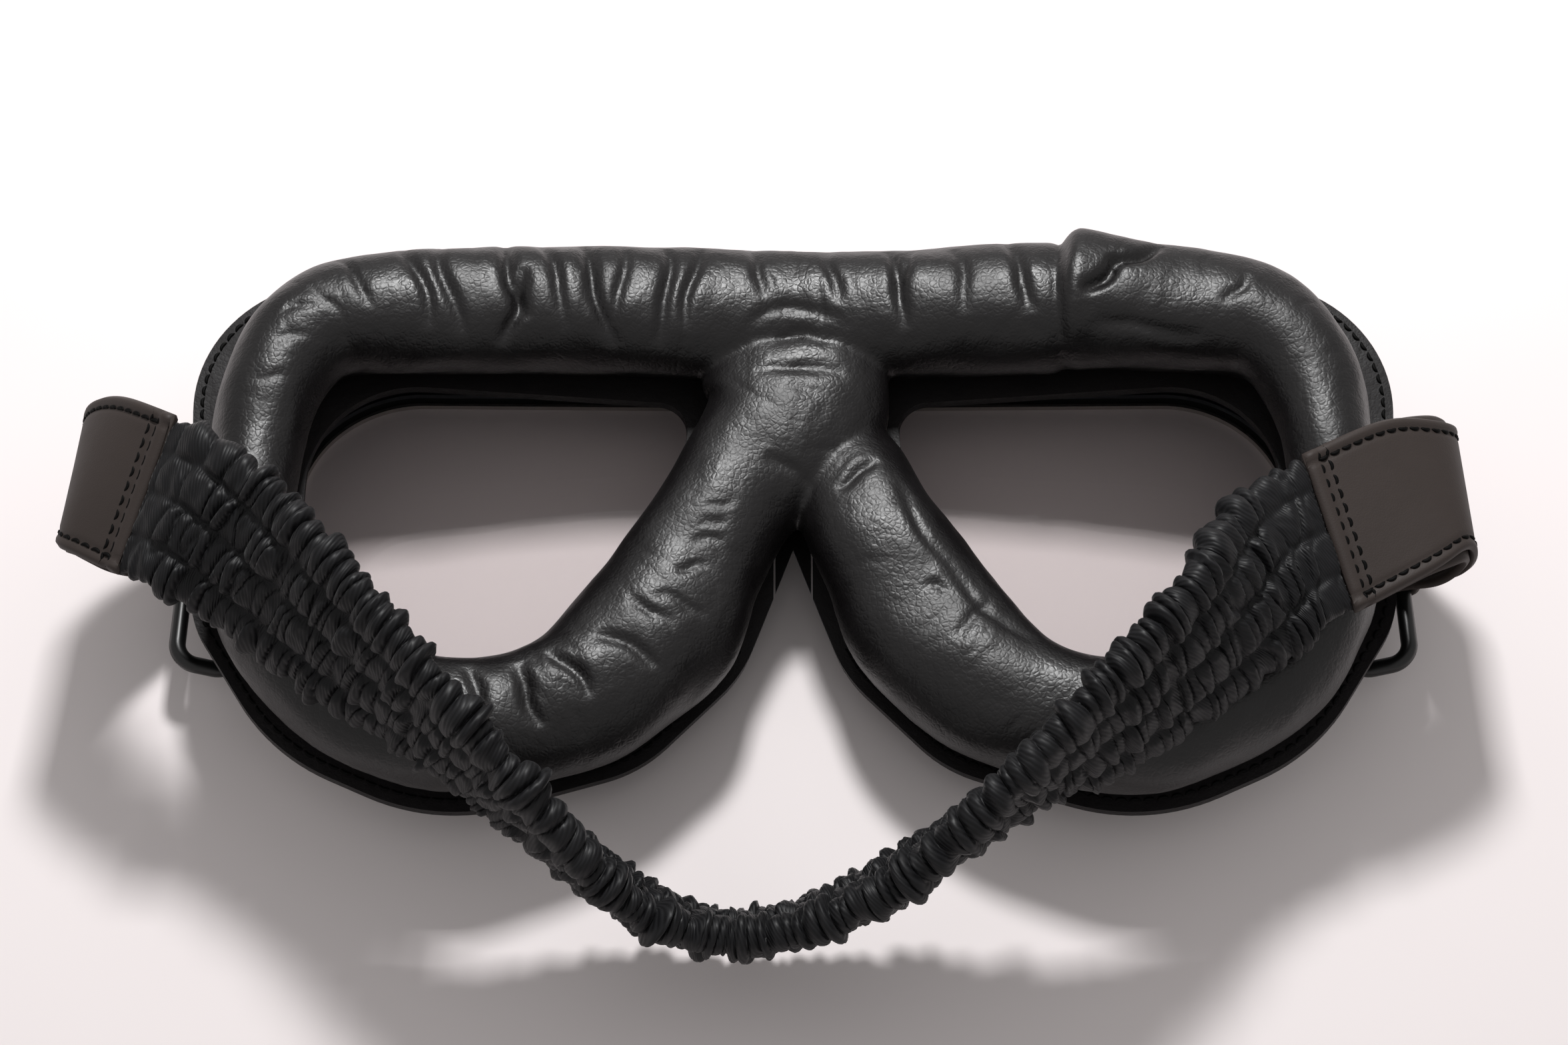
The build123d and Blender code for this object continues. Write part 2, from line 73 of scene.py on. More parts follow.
back = Vector((0, -math.cos(CAMERA_ELEVATION), math.sin(CAMERA_ELEVATION)))
camera_data = bpy.data.cameras.new("camera")
camera_data.lens = CAMERA_LENS
camera_data.sensor_width = SENSOR_WIDTH
camera_data.sensor_fit = "HORIZONTAL"
camera_data.clip_start = 0.01
camera_data.clip_end = 20
camera = bpy.data.objects.new("camera", camera_data)
camera.location = (AIM + back * CAMERA_DISTANCE) * MM
camera.rotation_euler = back.to_track_quat("Z", "Y").to_euler()
bpy.context.scene.collection.objects.link(camera)
bpy.context.scene.camera = camera
print("camera at", [round(v, 3) for v in camera.location])

# %% [markdown]
# ## Helpers for meshes and materials
#
# A surface that is swept along a line is a grid: one ring of points for each step.
# `grid_mesh` turns such a grid into a closed mesh. `smooth_rows` runs a natural
# cubic spline through a table of rows, so a few chosen rows give a fluent line.

# %% Mesh helpers
def smooth_rows(rows, step, shape_columns):
    """Rows every step along a smooth curve through the given rows, and each one's distance."""
    rows = np.array(rows, float)
    chords = np.linalg.norm(np.diff(rows[:, :shape_columns], axis=0), axis=1)
    knots = np.concatenate([[0], np.cumsum(chords)])
    count = len(rows)
    system = np.eye(count)
    slopes = np.zeros_like(rows)
    for i in range(1, count - 1):
        before, after = knots[i] - knots[i - 1], knots[i + 1] - knots[i]
        system[i, i - 1:i + 2] = before, 2 * (before + after), after
        slopes[i] = 6 * ((rows[i + 1] - rows[i]) / after - (rows[i] - rows[i - 1]) / before)
    bends = np.linalg.solve(system, slopes)
    places = np.linspace(0, knots[-1], max(2, round(knots[-1] / step) + 1))
    span = np.clip(np.searchsorted(knots, places, side="right") - 1, 0, count - 2)
    width = (knots[span + 1] - knots[span])[:, None]
    a = (knots[span + 1] - places)[:, None] / width
    b = 1 - a
    curve = (a * rows[span] + b * rows[span + 1]
             + ((a**3 - a) * bends[span] + (b**3 - b) * bends[span + 1]) * width**2 / 6)
    return curve, places


def unit(vectors):
    """Each vector at length one."""
    return vectors / np.linalg.norm(vectors, axis=-1, keepdims=True)


def grid_mesh(name, rings):
    """A mesh from rings of points in mm, each ring closed, with its two ends closed."""
    count, around = rings.shape[:2]
    start, end = count * around, count * around + 1
    faces = []
    for i in range(count - 1):
        for j in range(around):
            k = (j + 1) % around
            faces.append((i * around + j, (i + 1) * around + j, (i + 1) * around + k, i * around + k))
    for j in range(around):
        k = (j + 1) % around
        faces.append((start, j, k))
        faces.append((end, (count - 1) * around + k, (count - 1) * around + j))
    points = np.vstack([rings.reshape(-1, 3), rings[0].mean(0), rings[-1].mean(0)])
    mesh = bpy.data.meshes.new(name)
    mesh.from_pydata((points * MM).tolist(), [], faces)
    turn_outwards(mesh)
    return mesh


def turn_outwards(mesh):
    """Turn a closed mesh's faces outwards if they point inwards."""
    form = bmesh.new()
    form.from_mesh(mesh)
    if form.calc_volume(signed=True) < 0:
        mesh.flip_normals()
    form.free()
    mesh.update()


def piece(name, mesh, material):
    """An object for a finished mesh, smooth shaded, in one material."""
    mesh.name = name
    mesh.materials.clear()
    mesh.materials.append(material)
    mesh.shade_smooth()
    obj = bpy.data.objects.new(name, mesh)
    bpy.context.scene.collection.objects.link(obj)
    return obj


def applied(obj):
    """The object's mesh with its modifiers worked in, which are then removed."""
    bpy.context.view_layer.update()
    evaluated = obj.evaluated_get(bpy.context.evaluated_depsgraph_get())
    mesh = bpy.data.meshes.new_from_object(evaluated)
    obj.modifiers.clear()
    return mesh


def coordinates(mesh, what="position"):
    """The mesh's vertices, or its vertex normals, as an array."""
    values = np.empty(len(mesh.vertices) * 3)
    if what == "position":
        mesh.vertices.foreach_get("co", values)
    else:
        mesh.vertex_normals.foreach_get("vector", values)
    return values.reshape(-1, 3)


# %% Material helpers
def colour(hex_code):
    """A linear colour from an sRGB hex code."""
    parts = [int(hex_code[i:i + 2], 16) / 255 for i in (1, 3, 5)]
    return tuple(p / 12.92 if p <= 0.04045 else ((p + 0.055) / 1.055) ** 2.4 for p in parts) + (1,)


def add_node(tree, kind, inputs=None, **settings):
    """A node with its settings, and each input linked or set."""
    made = tree.nodes.new(kind)
    for name, value in settings.items():
        setattr(made, name, value)
    for name, value in (inputs or {}).items():
        socket = made.inputs[name]
        if isinstance(value, bpy.types.NodeSocket):
            tree.links.new(value, socket)
        else:
            socket.default_value = value
    return made


def new_material(name):
    """A material with its tree and its main shader."""
    material = bpy.data.materials.new(name)
    material.use_nodes = True
    tree = material.node_tree
    return material, tree, tree.nodes["Principled BSDF"]


def per_mm(size):
    """A texture scale whose pattern repeats every size mm."""
    return 1 / (size * MM)


# %% [markdown]
# ## Leather
#
# The roll is thin glove leather, dyed black and lightly waxed: a low soft sheen, a
# fine pebbled grain, and small crinkles from the stuffing that pushes against it.
# Voronoi cells with their edge distance look like the islands of real grain. Three
# bumps lie on one another: the islands, the pores, and a slower noise for the
# crinkles, which breaks up the highlights. A still slower noise varies the tone and
# the gloss, because handled leather is never evenly shiny. The grain is drawn 0.5 to
# 0.8 mm wide, about twice as coarse as the real one, so that it shows from here.

# %% Leather material
CLOUD_MM = 9
CRINKLE_MM = 1.6
PORES_PER_GRAIN = 0.6
GLOSS_SPREAD = (-0.05, 0.07)


def leather_material(name, tones, roughness, shine, grain_mm, grain_height_mm, crinkle_height_mm):
    """Grained and slightly crinkled leather in two tones, with an uneven gloss."""
    material, tree, shader = new_material(name)
    place = add_node(tree, "ShaderNodeTexCoord").outputs["Object"]
    cells = add_node(tree, "ShaderNodeTexVoronoi", {"Vector": place, "Scale": per_mm(grain_mm)},
                     feature="DISTANCE_TO_EDGE")
    pores = add_node(tree, "ShaderNodeTexNoise", {
        "Vector": place, "Scale": per_mm(grain_mm * PORES_PER_GRAIN), "Detail": 3.0,
        "Roughness": 0.6})
    cloudy = add_node(tree, "ShaderNodeTexNoise", {
        "Vector": place, "Scale": per_mm(CLOUD_MM), "Detail": 4.0, "Roughness": 0.55})
    islands = add_node(tree, "ShaderNodeMapRange", {
        "Value": cells.outputs["Distance"], "From Max": 0.25, "To Max": 1.0})
    tone = add_node(tree, "ShaderNodeMix", {
        "Factor": cloudy.outputs["Fac"], "A": colour(tones[0]), "B": colour(tones[1])},
        data_type="RGBA")
    tree.links.new(tone.outputs["Result"], shader.inputs["Base Color"])
    gloss = add_node(tree, "ShaderNodeMapRange", {
        "Value": cloudy.outputs["Fac"], "From Min": 0.3, "From Max": 0.7,
        "To Min": roughness + GLOSS_SPREAD[0], "To Max": roughness + GLOSS_SPREAD[1]})
    tree.links.new(gloss.outputs["Result"], shader.inputs["Roughness"])
    grain = add_node(tree, "ShaderNodeBump", {
        "Height": islands.outputs["Result"], "Strength": 0.6, "Distance": grain_height_mm * MM})
    fine = add_node(tree, "ShaderNodeBump", {
        "Height": pores.outputs["Fac"], "Strength": 0.5, "Distance": grain_height_mm * MM,
        "Normal": grain.outputs["Normal"]})
    soft = add_node(tree, "ShaderNodeTexNoise", {
        "Vector": place, "Scale": per_mm(CRINKLE_MM), "Detail": 2.0, "Roughness": 0.5})
    crinkle = add_node(tree, "ShaderNodeBump", {
        "Height": soft.outputs["Fac"], "Strength": 1.0, "Distance": crinkle_height_mm * MM,
        "Normal": fine.outputs["Normal"]})
    tree.links.new(crinkle.outputs["Normal"], shader.inputs["Normal"])
    shader.inputs["Specular IOR Level"].default_value = shine
    return material


# %% The four leathers
# Glove leather, drum-dyed and waxed: black with broad soft highlights.
glove_leather = leather_material(
    "waxed_glove_leather", ("#0c0a0b", "#131112"), roughness=0.39, shine=0.46,
    grain_mm=0.8, grain_height_mm=0.035, crinkle_height_mm=0.1)
# Mask leather, dyed and left undressed: nearly matt.
mask_leather = leather_material(
    "dyed_mask_leather", ("#0d0b0c", "#121011"), roughness=0.55, shine=0.15,
    grain_mm=0.6, grain_height_mm=0.02, crinkle_height_mm=0.1)
# Flange leather, rolled smooth: a dull band. Its slightly paler tone is painted light,
# which lifts the band where it lies in shade beside the roll.
flange_with_painted_light = leather_material(
    "smooth_flange_painted_light", ("#131112", "#1b1819"), roughness=0.5, shine=0.18,
    grain_mm=0.6, grain_height_mm=0.02, crinkle_height_mm=0.1)
# Tab leather, thick and oiled: dark brown-black, close-grained and matt.
tab_leather = leather_material(
    "oiled_tab_leather", ("#302926", "#39312e"), roughness=0.58, shine=0.3,
    grain_mm=0.45, grain_height_mm=0.012, crinkle_height_mm=0.03)
print("leathers:", [made.name for made in (glove_leather, mask_leather, flange_with_painted_light, tab_leather)])

# %% [markdown]
# ## Satin and thread
#
# The strap's sleeve is black satin: a smooth weave whose long floats shine along one
# direction. A real satin's diagonal lines are some 0.2 mm apart, too fine to show, so
# they are drawn 0.6 mm apart. They are a wave texture on the cloth's own UV map, so
# that they follow every pleat. The seams are sewn with bonded nylon thread, which is
# black, round and nearly without shine, and darker than the leather it sinks into.

# %% Cloth and thread materials
TWILL_MM = 0.6
TWILL_SLANT = math.radians(35)
# A wave texture counts 20 radians to one unit of its scale.
WAVE_UNIT = 2 * math.pi / 20


def satin_material():
    """Woven satin: dark between its floats, with faint diagonal lines of gloss."""
    material, tree, shader = new_material("black_satin")
    weave = add_node(tree, "ShaderNodeUVMap", uv_map="weave").outputs["UV"]
    turned = add_node(tree, "ShaderNodeMapping", {
        "Vector": weave, "Rotation": (0, 0, TWILL_SLANT)})
    twill = add_node(tree, "ShaderNodeTexWave", {
        "Vector": turned.outputs["Vector"], "Scale": per_mm(TWILL_MM) * WAVE_UNIT, "Distortion": 0.6,
        "Detail": 1.0}, wave_type="BANDS")
    cloudy = add_node(tree, "ShaderNodeTexNoise", {
        "Vector": weave, "Scale": per_mm(2.5), "Detail": 3.0})
    shade = add_node(tree, "ShaderNodeMath", operation="MULTIPLY")
    tree.links.new(twill.outputs["Fac"], shade.inputs[0])
    tree.links.new(cloudy.outputs["Fac"], shade.inputs[1])
    tone = add_node(tree, "ShaderNodeMix", {
        "Factor": shade.outputs["Value"], "A": colour("#0a0a0c"), "B": colour("#1c1c1f")},
        data_type="RGBA")
    tree.links.new(tone.outputs["Result"], shader.inputs["Base Color"])
    rough = add_node(tree, "ShaderNodeMapRange", {
        "Value": twill.outputs["Fac"], "To Min": 0.44, "To Max": 0.58})
    tree.links.new(rough.outputs["Result"], shader.inputs["Roughness"])
    lines = add_node(tree, "ShaderNodeBump", {
        "Height": twill.outputs["Fac"], "Strength": 1.0, "Distance": 0.035 * MM})
    tree.links.new(lines.outputs["Normal"], shader.inputs["Normal"])
    shader.inputs["Specular IOR Level"].default_value = 0.25
    shader.inputs["Sheen Weight"].default_value = 0.05
    shader.inputs["Sheen Roughness"].default_value = 0.4
    return material


def thread_material():
    """Black thread with a slight change of tone along its twist."""
    material, tree, shader = new_material("bonded_nylon_thread")
    place = add_node(tree, "ShaderNodeTexCoord").outputs["Object"]
    twist = add_node(tree, "ShaderNodeTexNoise", {"Vector": place, "Scale": per_mm(0.3)})
    tone = add_node(tree, "ShaderNodeMix", {
        "Factor": twist.outputs["Fac"], "A": colour("#040404"), "B": colour("#0b0a0a")},
        data_type="RGBA")
    tree.links.new(tone.outputs["Result"], shader.inputs["Base Color"])
    shader.inputs["Roughness"].default_value = 0.6
    shader.inputs["Specular IOR Level"].default_value = 0.08
    return material


satin = satin_material()
thread = thread_material()
print("cloth:", satin.name, "and", thread.name)

# %% [markdown]
# ## Metal, lacquer, rubber and glass
#
# The rims and the hinge's brackets are pressed metal with polished nickel plate,
# which mirrors softly. The lugs and wire loops are black lacquered steel. The ring
# that holds each lens is spring steel, blued by heat, and the hinge's screw and nut
# are turned steel, whose fine marks spread the light. The gasket is moulded rubber,
# dull and a little dusty. The lens is toughened glass. The camera sees a surface that
# refracts, but hardly any lamp light finds its way through refraction, so the floor
# behind the lens would be black. To shadow rays and bounced light it is just clear.

# %% Hard materials
def metal_material(name, base, roughness, brushed_mm):
    """A plated or turned metal with faint marks of its making."""
    material, tree, shader = new_material(name)
    place = add_node(tree, "ShaderNodeTexCoord").outputs["Object"]
    marks = add_node(tree, "ShaderNodeTexNoise", {
        "Vector": place, "Scale": per_mm(brushed_mm), "Detail": 5.0})
    rough = add_node(tree, "ShaderNodeMapRange", {
        "Value": marks.outputs["Fac"], "To Min": roughness - 0.05, "To Max": roughness + 0.08})
    tree.links.new(rough.outputs["Result"], shader.inputs["Roughness"])
    shader.inputs["Base Color"].default_value = colour(base)
    shader.inputs["Metallic"].default_value = 1.0
    return material


def dull_material(name, dark, light, roughness):
    """Rubber or lacquer, with a little dust in its tone."""
    material, tree, shader = new_material(name)
    place = add_node(tree, "ShaderNodeTexCoord").outputs["Object"]
    dust = add_node(tree, "ShaderNodeTexNoise", {"Vector": place, "Scale": per_mm(3)})
    tone = add_node(tree, "ShaderNodeMix", {
        "Factor": dust.outputs["Fac"], "A": colour(dark), "B": colour(light)}, data_type="RGBA")
    tree.links.new(tone.outputs["Result"], shader.inputs["Base Color"])
    shader.inputs["Roughness"].default_value = roughness
    return material


def glass_material():
    """Clear glass that lets lamps and the bright room through to the table below it."""
    material, tree, shader = new_material("toughened_glass")
    shader.inputs["Base Color"].default_value = colour("#ece9e9")
    shader.inputs["Roughness"].default_value = 0.0
    shader.inputs["IOR"].default_value = 1.5
    shader.inputs["Transmission Weight"].default_value = 1.0
    path = add_node(tree, "ShaderNodeLightPath")
    clear = add_node(tree, "ShaderNodeBsdfTransparent", {"Color": colour("#f2f0f0")})
    light_path = add_node(tree, "ShaderNodeMath", operation="MAXIMUM")
    tree.links.new(path.outputs["Is Shadow Ray"], light_path.inputs[0])
    tree.links.new(path.outputs["Is Diffuse Ray"], light_path.inputs[1])
    mixed = add_node(tree, "ShaderNodeMixShader", {"Fac": light_path.outputs["Value"]})
    tree.links.new(shader.outputs["BSDF"], mixed.inputs[1])
    tree.links.new(clear.outputs["BSDF"], mixed.inputs[2])
    tree.links.new(mixed.outputs["Shader"], tree.nodes["Material Output"].inputs["Surface"])
    return material


nickel = metal_material("polished_nickel_plate", "#c9c7c2", 0.16, 4)
spring_steel = metal_material("blued_spring_steel", "#3a3c40", 0.35, 1)
turned_steel = metal_material("turned_steel", "#a9a8a5", 0.28, 0.6)
rubber = dull_material("moulded_rubber", "#151515", "#1e1e1e", 0.7)
lacquer = dull_material("black_lacquered_steel", "#0b0b0b", "#131313", 0.35)
glass = glass_material()

# %% Finish the CAD nodes
NODE_FINISHES = {
    "rim": nickel, "loop_lug": lacquer, "wire_loop": lacquer, "bridge_bracket": nickel,
    "lens_retainer": spring_steel, "bridge_screw": turned_steel, "bridge_nut": turned_steel,
    # The flange's paler tone is painted light on a band that lies in shade.
    "lens_gasket": rubber, "lens": glass, "mask_wall": mask_leather, "flange": flange_with_painted_light,
}
for name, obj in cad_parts.items():
    for ending, finish in NODE_FINISHES.items():
        if name.endswith(ending):
            for place in obj.material_slots:
                place.material = finish
print("finished CAD nodes with", len(NODE_FINISHES), "kinds of finish")

# %% [markdown]
# ## The stuffed roll
#
# The real roll is a tube of glove leather, stuffed with foam and sewn to the
# flange. One long tube runs from a pinched seam on the right of the brow, across
# the brow, down the left temple, round the left eye and up over the nose. A shorter
# one goes round the right eye and ends under the first at the nose. So the model
# starts from the same two tubes, drawn flat on the flange: each table row is a place
# on the flange's plane, the tube's half width and its height. A voxel remesh welds
# the tubes into one skin, and leaves the soft creases where they push together.

# %% Roll tables, in mm on the plane of the flange
EYE_RING = [
    (73.6, 27.2, 8.75, 15.0), (79.6, 17.5, 7.6, 15.0), (81.3, 5, 6.7, 15.0), (81.2, -5, 6.7, 15.0),
    (80.0, -12.5, 7.1, 15.0), (75.9, -21.6, 8.1, 15.0), (68.5, -29.5, 9.0, 15.0),
    (58.4, -34.3, 9.7, 15.0), (48.1, -35.7, 10.2, 15.0), (38.1, -33.4, 10.0, 15.0),
    (29.7, -28.8, 11.1, 15.0), (23.8, -22.9, 12.0, 15.0), (19.2, -16.5, 12.1, 15.0),
    (16.2, -9.8, 11.2, 15.0), (13.2, -4.0, 10.5, 14.8),
]
LONG_ROLL = [
    (41.3, 32.7, 10.4, 15.2), (29, 33.3, 10.6, 15.2), (14, 33.7, 10.7, 15.0), (0, 33.8, 10.6, 14.8),
    (-16, 33.7, 10.6, 15.0), (-32, 33.0, 10.4, 15.2), (-48, 32.0, 10.1, 15.0),
    (-62, 30.7, 9.8, 15.0),
] + [(-x, y, half, top) for x, y, half, top in EYE_RING] + [
    (-10.4, 1.4, 10.4, 14.8), (-6.6, 7.0, 11.8, 15.0), (-2.0, 12.4, 14.0, 15.0),
    (0.2, 18.0, 15.2, 14.7), (0.6, 24.4, 15.0, 14.2),
]
SHORT_ROLL = [
    (45.1, 33.7, 11.1, 17.2), (50.0, 33.0, 10.5, 16.4), (55.5, 32.0, 10.1, 15.7),
    (64, 30.6, 9.7, 15.2),
] + EYE_RING + [(10.8, 1.2, 10.0, 14.2), (8.8, 5.8, 9.6, 13.2), (7.4, 9.0, 9.0, 12.2)]
print("the long roll has", len(LONG_ROLL), "rows and the short one", len(SHORT_ROLL))

# %% [markdown]
# The two flanges rise away from the nose in a shallow V, so the flat drawing is laid
# on two planes that meet at the middle. The fold between them is rounded off, because
# stuffed leather can't bend sharply. Each plane is given by three directions: across
# and up on the flange, and out from it. The left plane is the mirror of the right.

# %% From the flat drawing to the flanges
PAD_BASE = 9.0
PAD_ACROSS = (0.994, 0, 0.1093)
PAD_UP = (-0.0119, 0.9941, 0.108)
PAD_OUT = (-0.1087, -0.1087, 0.988)
FLANGE_THICK = 1.8
FOLD_ROUNDING = 6.0


def on_pad(points):
    """Points drawn flat on the flange, as across, up and height in mm, put in their place."""
    across, up, height = points.T
    reach = np.sqrt(across**2 + FOLD_ROUNDING**2)
    side = across / reach
    return np.stack([
        PAD_ACROSS[0] * across + (PAD_UP[0] * up + PAD_OUT[0] * height) * side,
        PAD_UP[1] * up + PAD_OUT[1] * height,
        PAD_BASE + PAD_ACROSS[2] * reach + PAD_UP[2] * up + PAD_OUT[2] * (height + FLANGE_THICK),
    ], 1)


# %% Tubes
WIDEST_AT = 0.42
SIDE_FULLNESS = 0.9
CREST_FULLNESS = 0.92
SIDE_TUCK = 2.6
CREST_POINTS = 31
BASE_POINTS = 7
END_REACH = 0.35
END_STEPS = (0.3, 0.6, 0.85, 0.97)


def tube_section(half, top, shrink):
    """A ring across a stuffed tube: a round crest on sides that tuck in to a flat base."""
    middle = top * WIDEST_AT
    turn = np.linspace(0, math.pi, CREST_POINTS)
    side = np.sign(np.cos(turn)) * np.abs(np.cos(turn)) ** SIDE_FULLNESS * half * shrink
    rise = middle + np.sin(turn) ** CREST_FULLNESS * (top - middle) * shrink
    foot = max((half - SIDE_TUCK) * shrink, 0.1)
    base = np.column_stack([np.linspace(-foot, foot, BASE_POINTS), np.zeros(BASE_POINTS)])
    return np.vstack([np.column_stack([side, rise]), base])


def tube_rings(rows):
    """Rings of a stuffed tube along a table of rows, with blunt rounded ends."""
    line, _ = smooth_rows(rows, 1.0, 2)
    ahead = unit(np.gradient(line[:, :2], axis=0))
    aside = np.stack([-ahead[:, 1], ahead[:, 0]], 1)
    last = len(line) - 1
    steps = [(0, -share) for share in reversed(END_STEPS)]
    steps += [(index, 0) for index in range(last + 1)]
    steps += [(last, share) for share in END_STEPS]
    rings = []
    for index, beyond in steps:
        x, y, half, top = line[index]
        centre = np.array([x, y]) + ahead[index] * beyond * half * END_REACH
        section = tube_section(half, top, math.sqrt(1 - beyond**2))
        rings.append(np.column_stack([centre + section[:, :1] * aside[index], section[:, 1]]))
    return np.array(rings)


# %% [markdown]
# Wrinkles in stuffed leather are narrow valleys, mostly across the tube, with full
# puffs between them and hardly a ridge beside them. Each wrinkle here is a bowed and
# slightly wavy line on the flange's plane, with a width and a depth. The clear ones
# are listed one by one, and the fine ones come from a seeded random generator.

# %% Wrinkle shape
VALLEY_SHARE = 0.6
RIDGE_HEIGHT = 0.1
RIDGE_PLACE = 2.2
RIDGE_SHARE = 1.5
WRINKLE_WAVE = 0.25


def wrinkle_depths(places, wrinkles):
    """How far each place moves along its normal, in mm, for all the wrinkles."""
    depth = np.zeros(len(places))
    for start, end, width, deep, bow in wrinkles:
        start, end = np.array(start), np.array(end)
        half = np.linalg.norm(end - start) / 2
        along = (end - start) / (2 * half)
        offset = places[:, :2] - (start + end) / 2
        share = offset @ along / half
        wave = WRINKLE_WAVE * np.sin(share * 4.1 + start[0])
        aside = offset @ np.array([-along[1], along[0]]) - bow * (1 - share**2) - wave
        near = np.clip(1 - share**2, 0, 1) ** 0.7
        valley = -np.exp(-(aside / (VALLEY_SHARE * width)) ** 2)
        beside = (np.abs(aside) - RIDGE_PLACE * width) / (RIDGE_SHARE * width)
        depth += deep * near * (valley + RIDGE_HEIGHT * np.exp(-beside ** 2))
    return depth


def scattered_wrinkles(rows, seed, spans):
    """Fine wrinkles across a tube: each span says from, to, how many and how deep."""
    line, _ = smooth_rows(rows, 1.0, 2)
    ahead = unit(np.gradient(line[:, :2], axis=0))
    chance = np.random.default_rng(seed)
    wrinkles = []
    for first, last, count, deep in spans:
        for _ in range(count):
            index = min(int(len(line) * chance.uniform(first, last)), len(line) - 1)
            aside = np.array([-ahead[index, 1], ahead[index, 0]])
            half = line[index, 2]
            middle = line[index, :2] + aside * chance.uniform(-0.6, 0.6) * half
            turned = chance.normal(0, 0.25)
            way = aside * math.cos(turned) + ahead[index] * math.sin(turned)
            reach = chance.uniform(0.2, 0.5) * half
            wrinkles.append((middle - way * reach, middle + way * reach,
                             chance.uniform(0.45, 0.9), deep * chance.uniform(0.4, 1.1),
                             chance.uniform(-0.6, 0.6)))
    return wrinkles


def lumps(places, size, seed):
    """A slow unevenness between -1 and 1, from a few crossing waves."""
    chance = np.random.default_rng(seed)
    total = np.zeros(len(places))
    for _ in range(9):
        way = unit(chance.normal(size=3))
        total += np.sin(places @ way * 2 * math.pi / (size * chance.uniform(0.7, 1.6))
                        + chance.uniform(0, 6.3))
    return total / 4


# %% Wrinkles listed one by one: from, to, width, depth and bow in mm
BROW_WRINKLES = [
    ((-71.5, 37), (-66, 27), 1.1, 0.6, 0.6), ((-62.4, 39.5), (-56.4, 25), 1.5, 0.9, 0.9),
    ((-56.8, 40), (-51.4, 24.5), 1.6, 1.0, -0.7), ((-46.4, 42), (-42.6, 27), 1.5, 1.3, -0.9),
    ((-43.2, 36), (-45.8, 23.6), 1.5, 1.3, 0.7), ((-41, 42), (-36.6, 26), 1.4, 0.8, 0.7),
    ((-34, 42), (-29, 24.4), 1.6, 1.4, -1.0), ((-28, 42), (-29.6, 27), 1.2, 0.7, 0.6),
    ((-21.3, 42), (-22.6, 25), 1.5, 1.1, 0.7), ((-15.6, 42.5), (-18.6, 27), 1.4, 0.9, -0.6),
    ((-75.5, 30.5), (-69, 24.2), 0.9, 0.4, 0.4), ((-79, 25.5), (-73, 27.5), 0.8, 0.35, 0.3),
    ((-79.5, 20.5), (-74.5, 22.5), 0.9, 0.3, 0.3), ((-82, 14), (-76.5, 15), 0.9, 0.25, 0.3),
    ((-8.4, 43.5), (-6.4, 33), 1.5, 0.6, 0.5), ((6.4, 43.5), (9.2, 32), 1.5, 0.6, -0.5),
    ((16.4, 42.5), (18.6, 27), 1.5, 1.1, 0.6), ((20.6, 42.5), (18.6, 32), 1.0, 0.5, -0.4),
    ((27, 42), (28.2, 29), 1.5, 0.6, 0.4), ((34.6, 43), (38, 28), 1.5, 0.9, 0.5),
    ((58.6, 39.4), (50.1, 35.2), 1.6, 1.4, 0.6), ((52, 36.4), (46, 30.2), 1.6, 1.6, 0.6),
    ((71.4, 32.8), (66.8, 27.8), 1.3, 0.5, 0.4), ((47, 26.2), (64, 23.4), 1.5, 0.5, 0.4),
]
NOSE_WRINKLES = [
    ((-9, 28.5), (10, 28.3), 1.7, 0.5, 3.2), ((-5, 25.2), (7, 25.6), 1.3, 0.25, 2.2),
    ((-7.5, 20.4), (9.5, 20.2), 1.6, 0.5, 1.2), ((-3, 17), (6, 16.6), 1.2, 0.2, 0.8),
    ((-5.5, 6.6), (4.2, 2.0), 1.6, 0.5, 0.4), ((7.4, 1.0), (13.8, 6.4), 1.3, 0.7, -0.3),
    ((-15, -2.8), (-10, -1.7), 0.9, 0.35, 0.3), ((-15.6, -5.2), (-10.9, -4), 0.9, 0.35, -0.3),
    ((-16.6, -8.2), (-11.4, -7.4), 1.0, 0.4, 0.3), ((-19, -13.2), (-13.8, -11.8), 1.0, 0.4, 0.3),
    ((16.8, 2.5), (24.5, -12.5), 1.3, 0.45, -0.7), ((23.5, -11), (36, -25), 1.3, 0.4, -1.0),
    ((20.5, -14.8), (24, -16.2), 0.9, 0.5, 0.2),
]
CHEEK_WRINKLES = [
    ((-21.5, -16.8), (-14, -20), 1.1, 0.45, 0.5), ((-26, -18), (-18.5, -22), 1.2, 0.5, 0.5),
    ((-30, -23), (-21, -28), 1.5, 0.8, 0.6), ((-37, -26), (-30, -33), 1.5, 0.9, 0.6),
    ((-41, -28), (-37, -38), 1.7, 1.1, -0.6), ((-48, -29), (-46, -39), 1.5, 0.8, 0.5),
    ((30, -17), (24.6, -23.4), 1.3, 0.4, 0.4), ((-56, -29), (-58, -38), 1.5, 0.5, 0.4),
]
placed_wrinkles = BROW_WRINKLES + NOSE_WRINKLES + CHEEK_WRINKLES
print(len(placed_wrinkles), "wrinkles are placed by hand")

# %% [markdown]
# A voxel remesh joins the tubes, as one skin without inner walls, and a few rounds of
# smoothing take away its steps. Then the wrinkles move the skin along its normals.
# They fade on the sides of the tube, where the leather is pulled tight, and nothing
# moves at the foot, which is sewn to the flange.

# %% Roll builder
ROLL_VOXEL = 0.6
SMOOTH_ROUNDS = 9
LUMPS = ((13, 0.3), (4.2, 0.04))
SEWN_FOOT = 5
LOWEST = 0.15


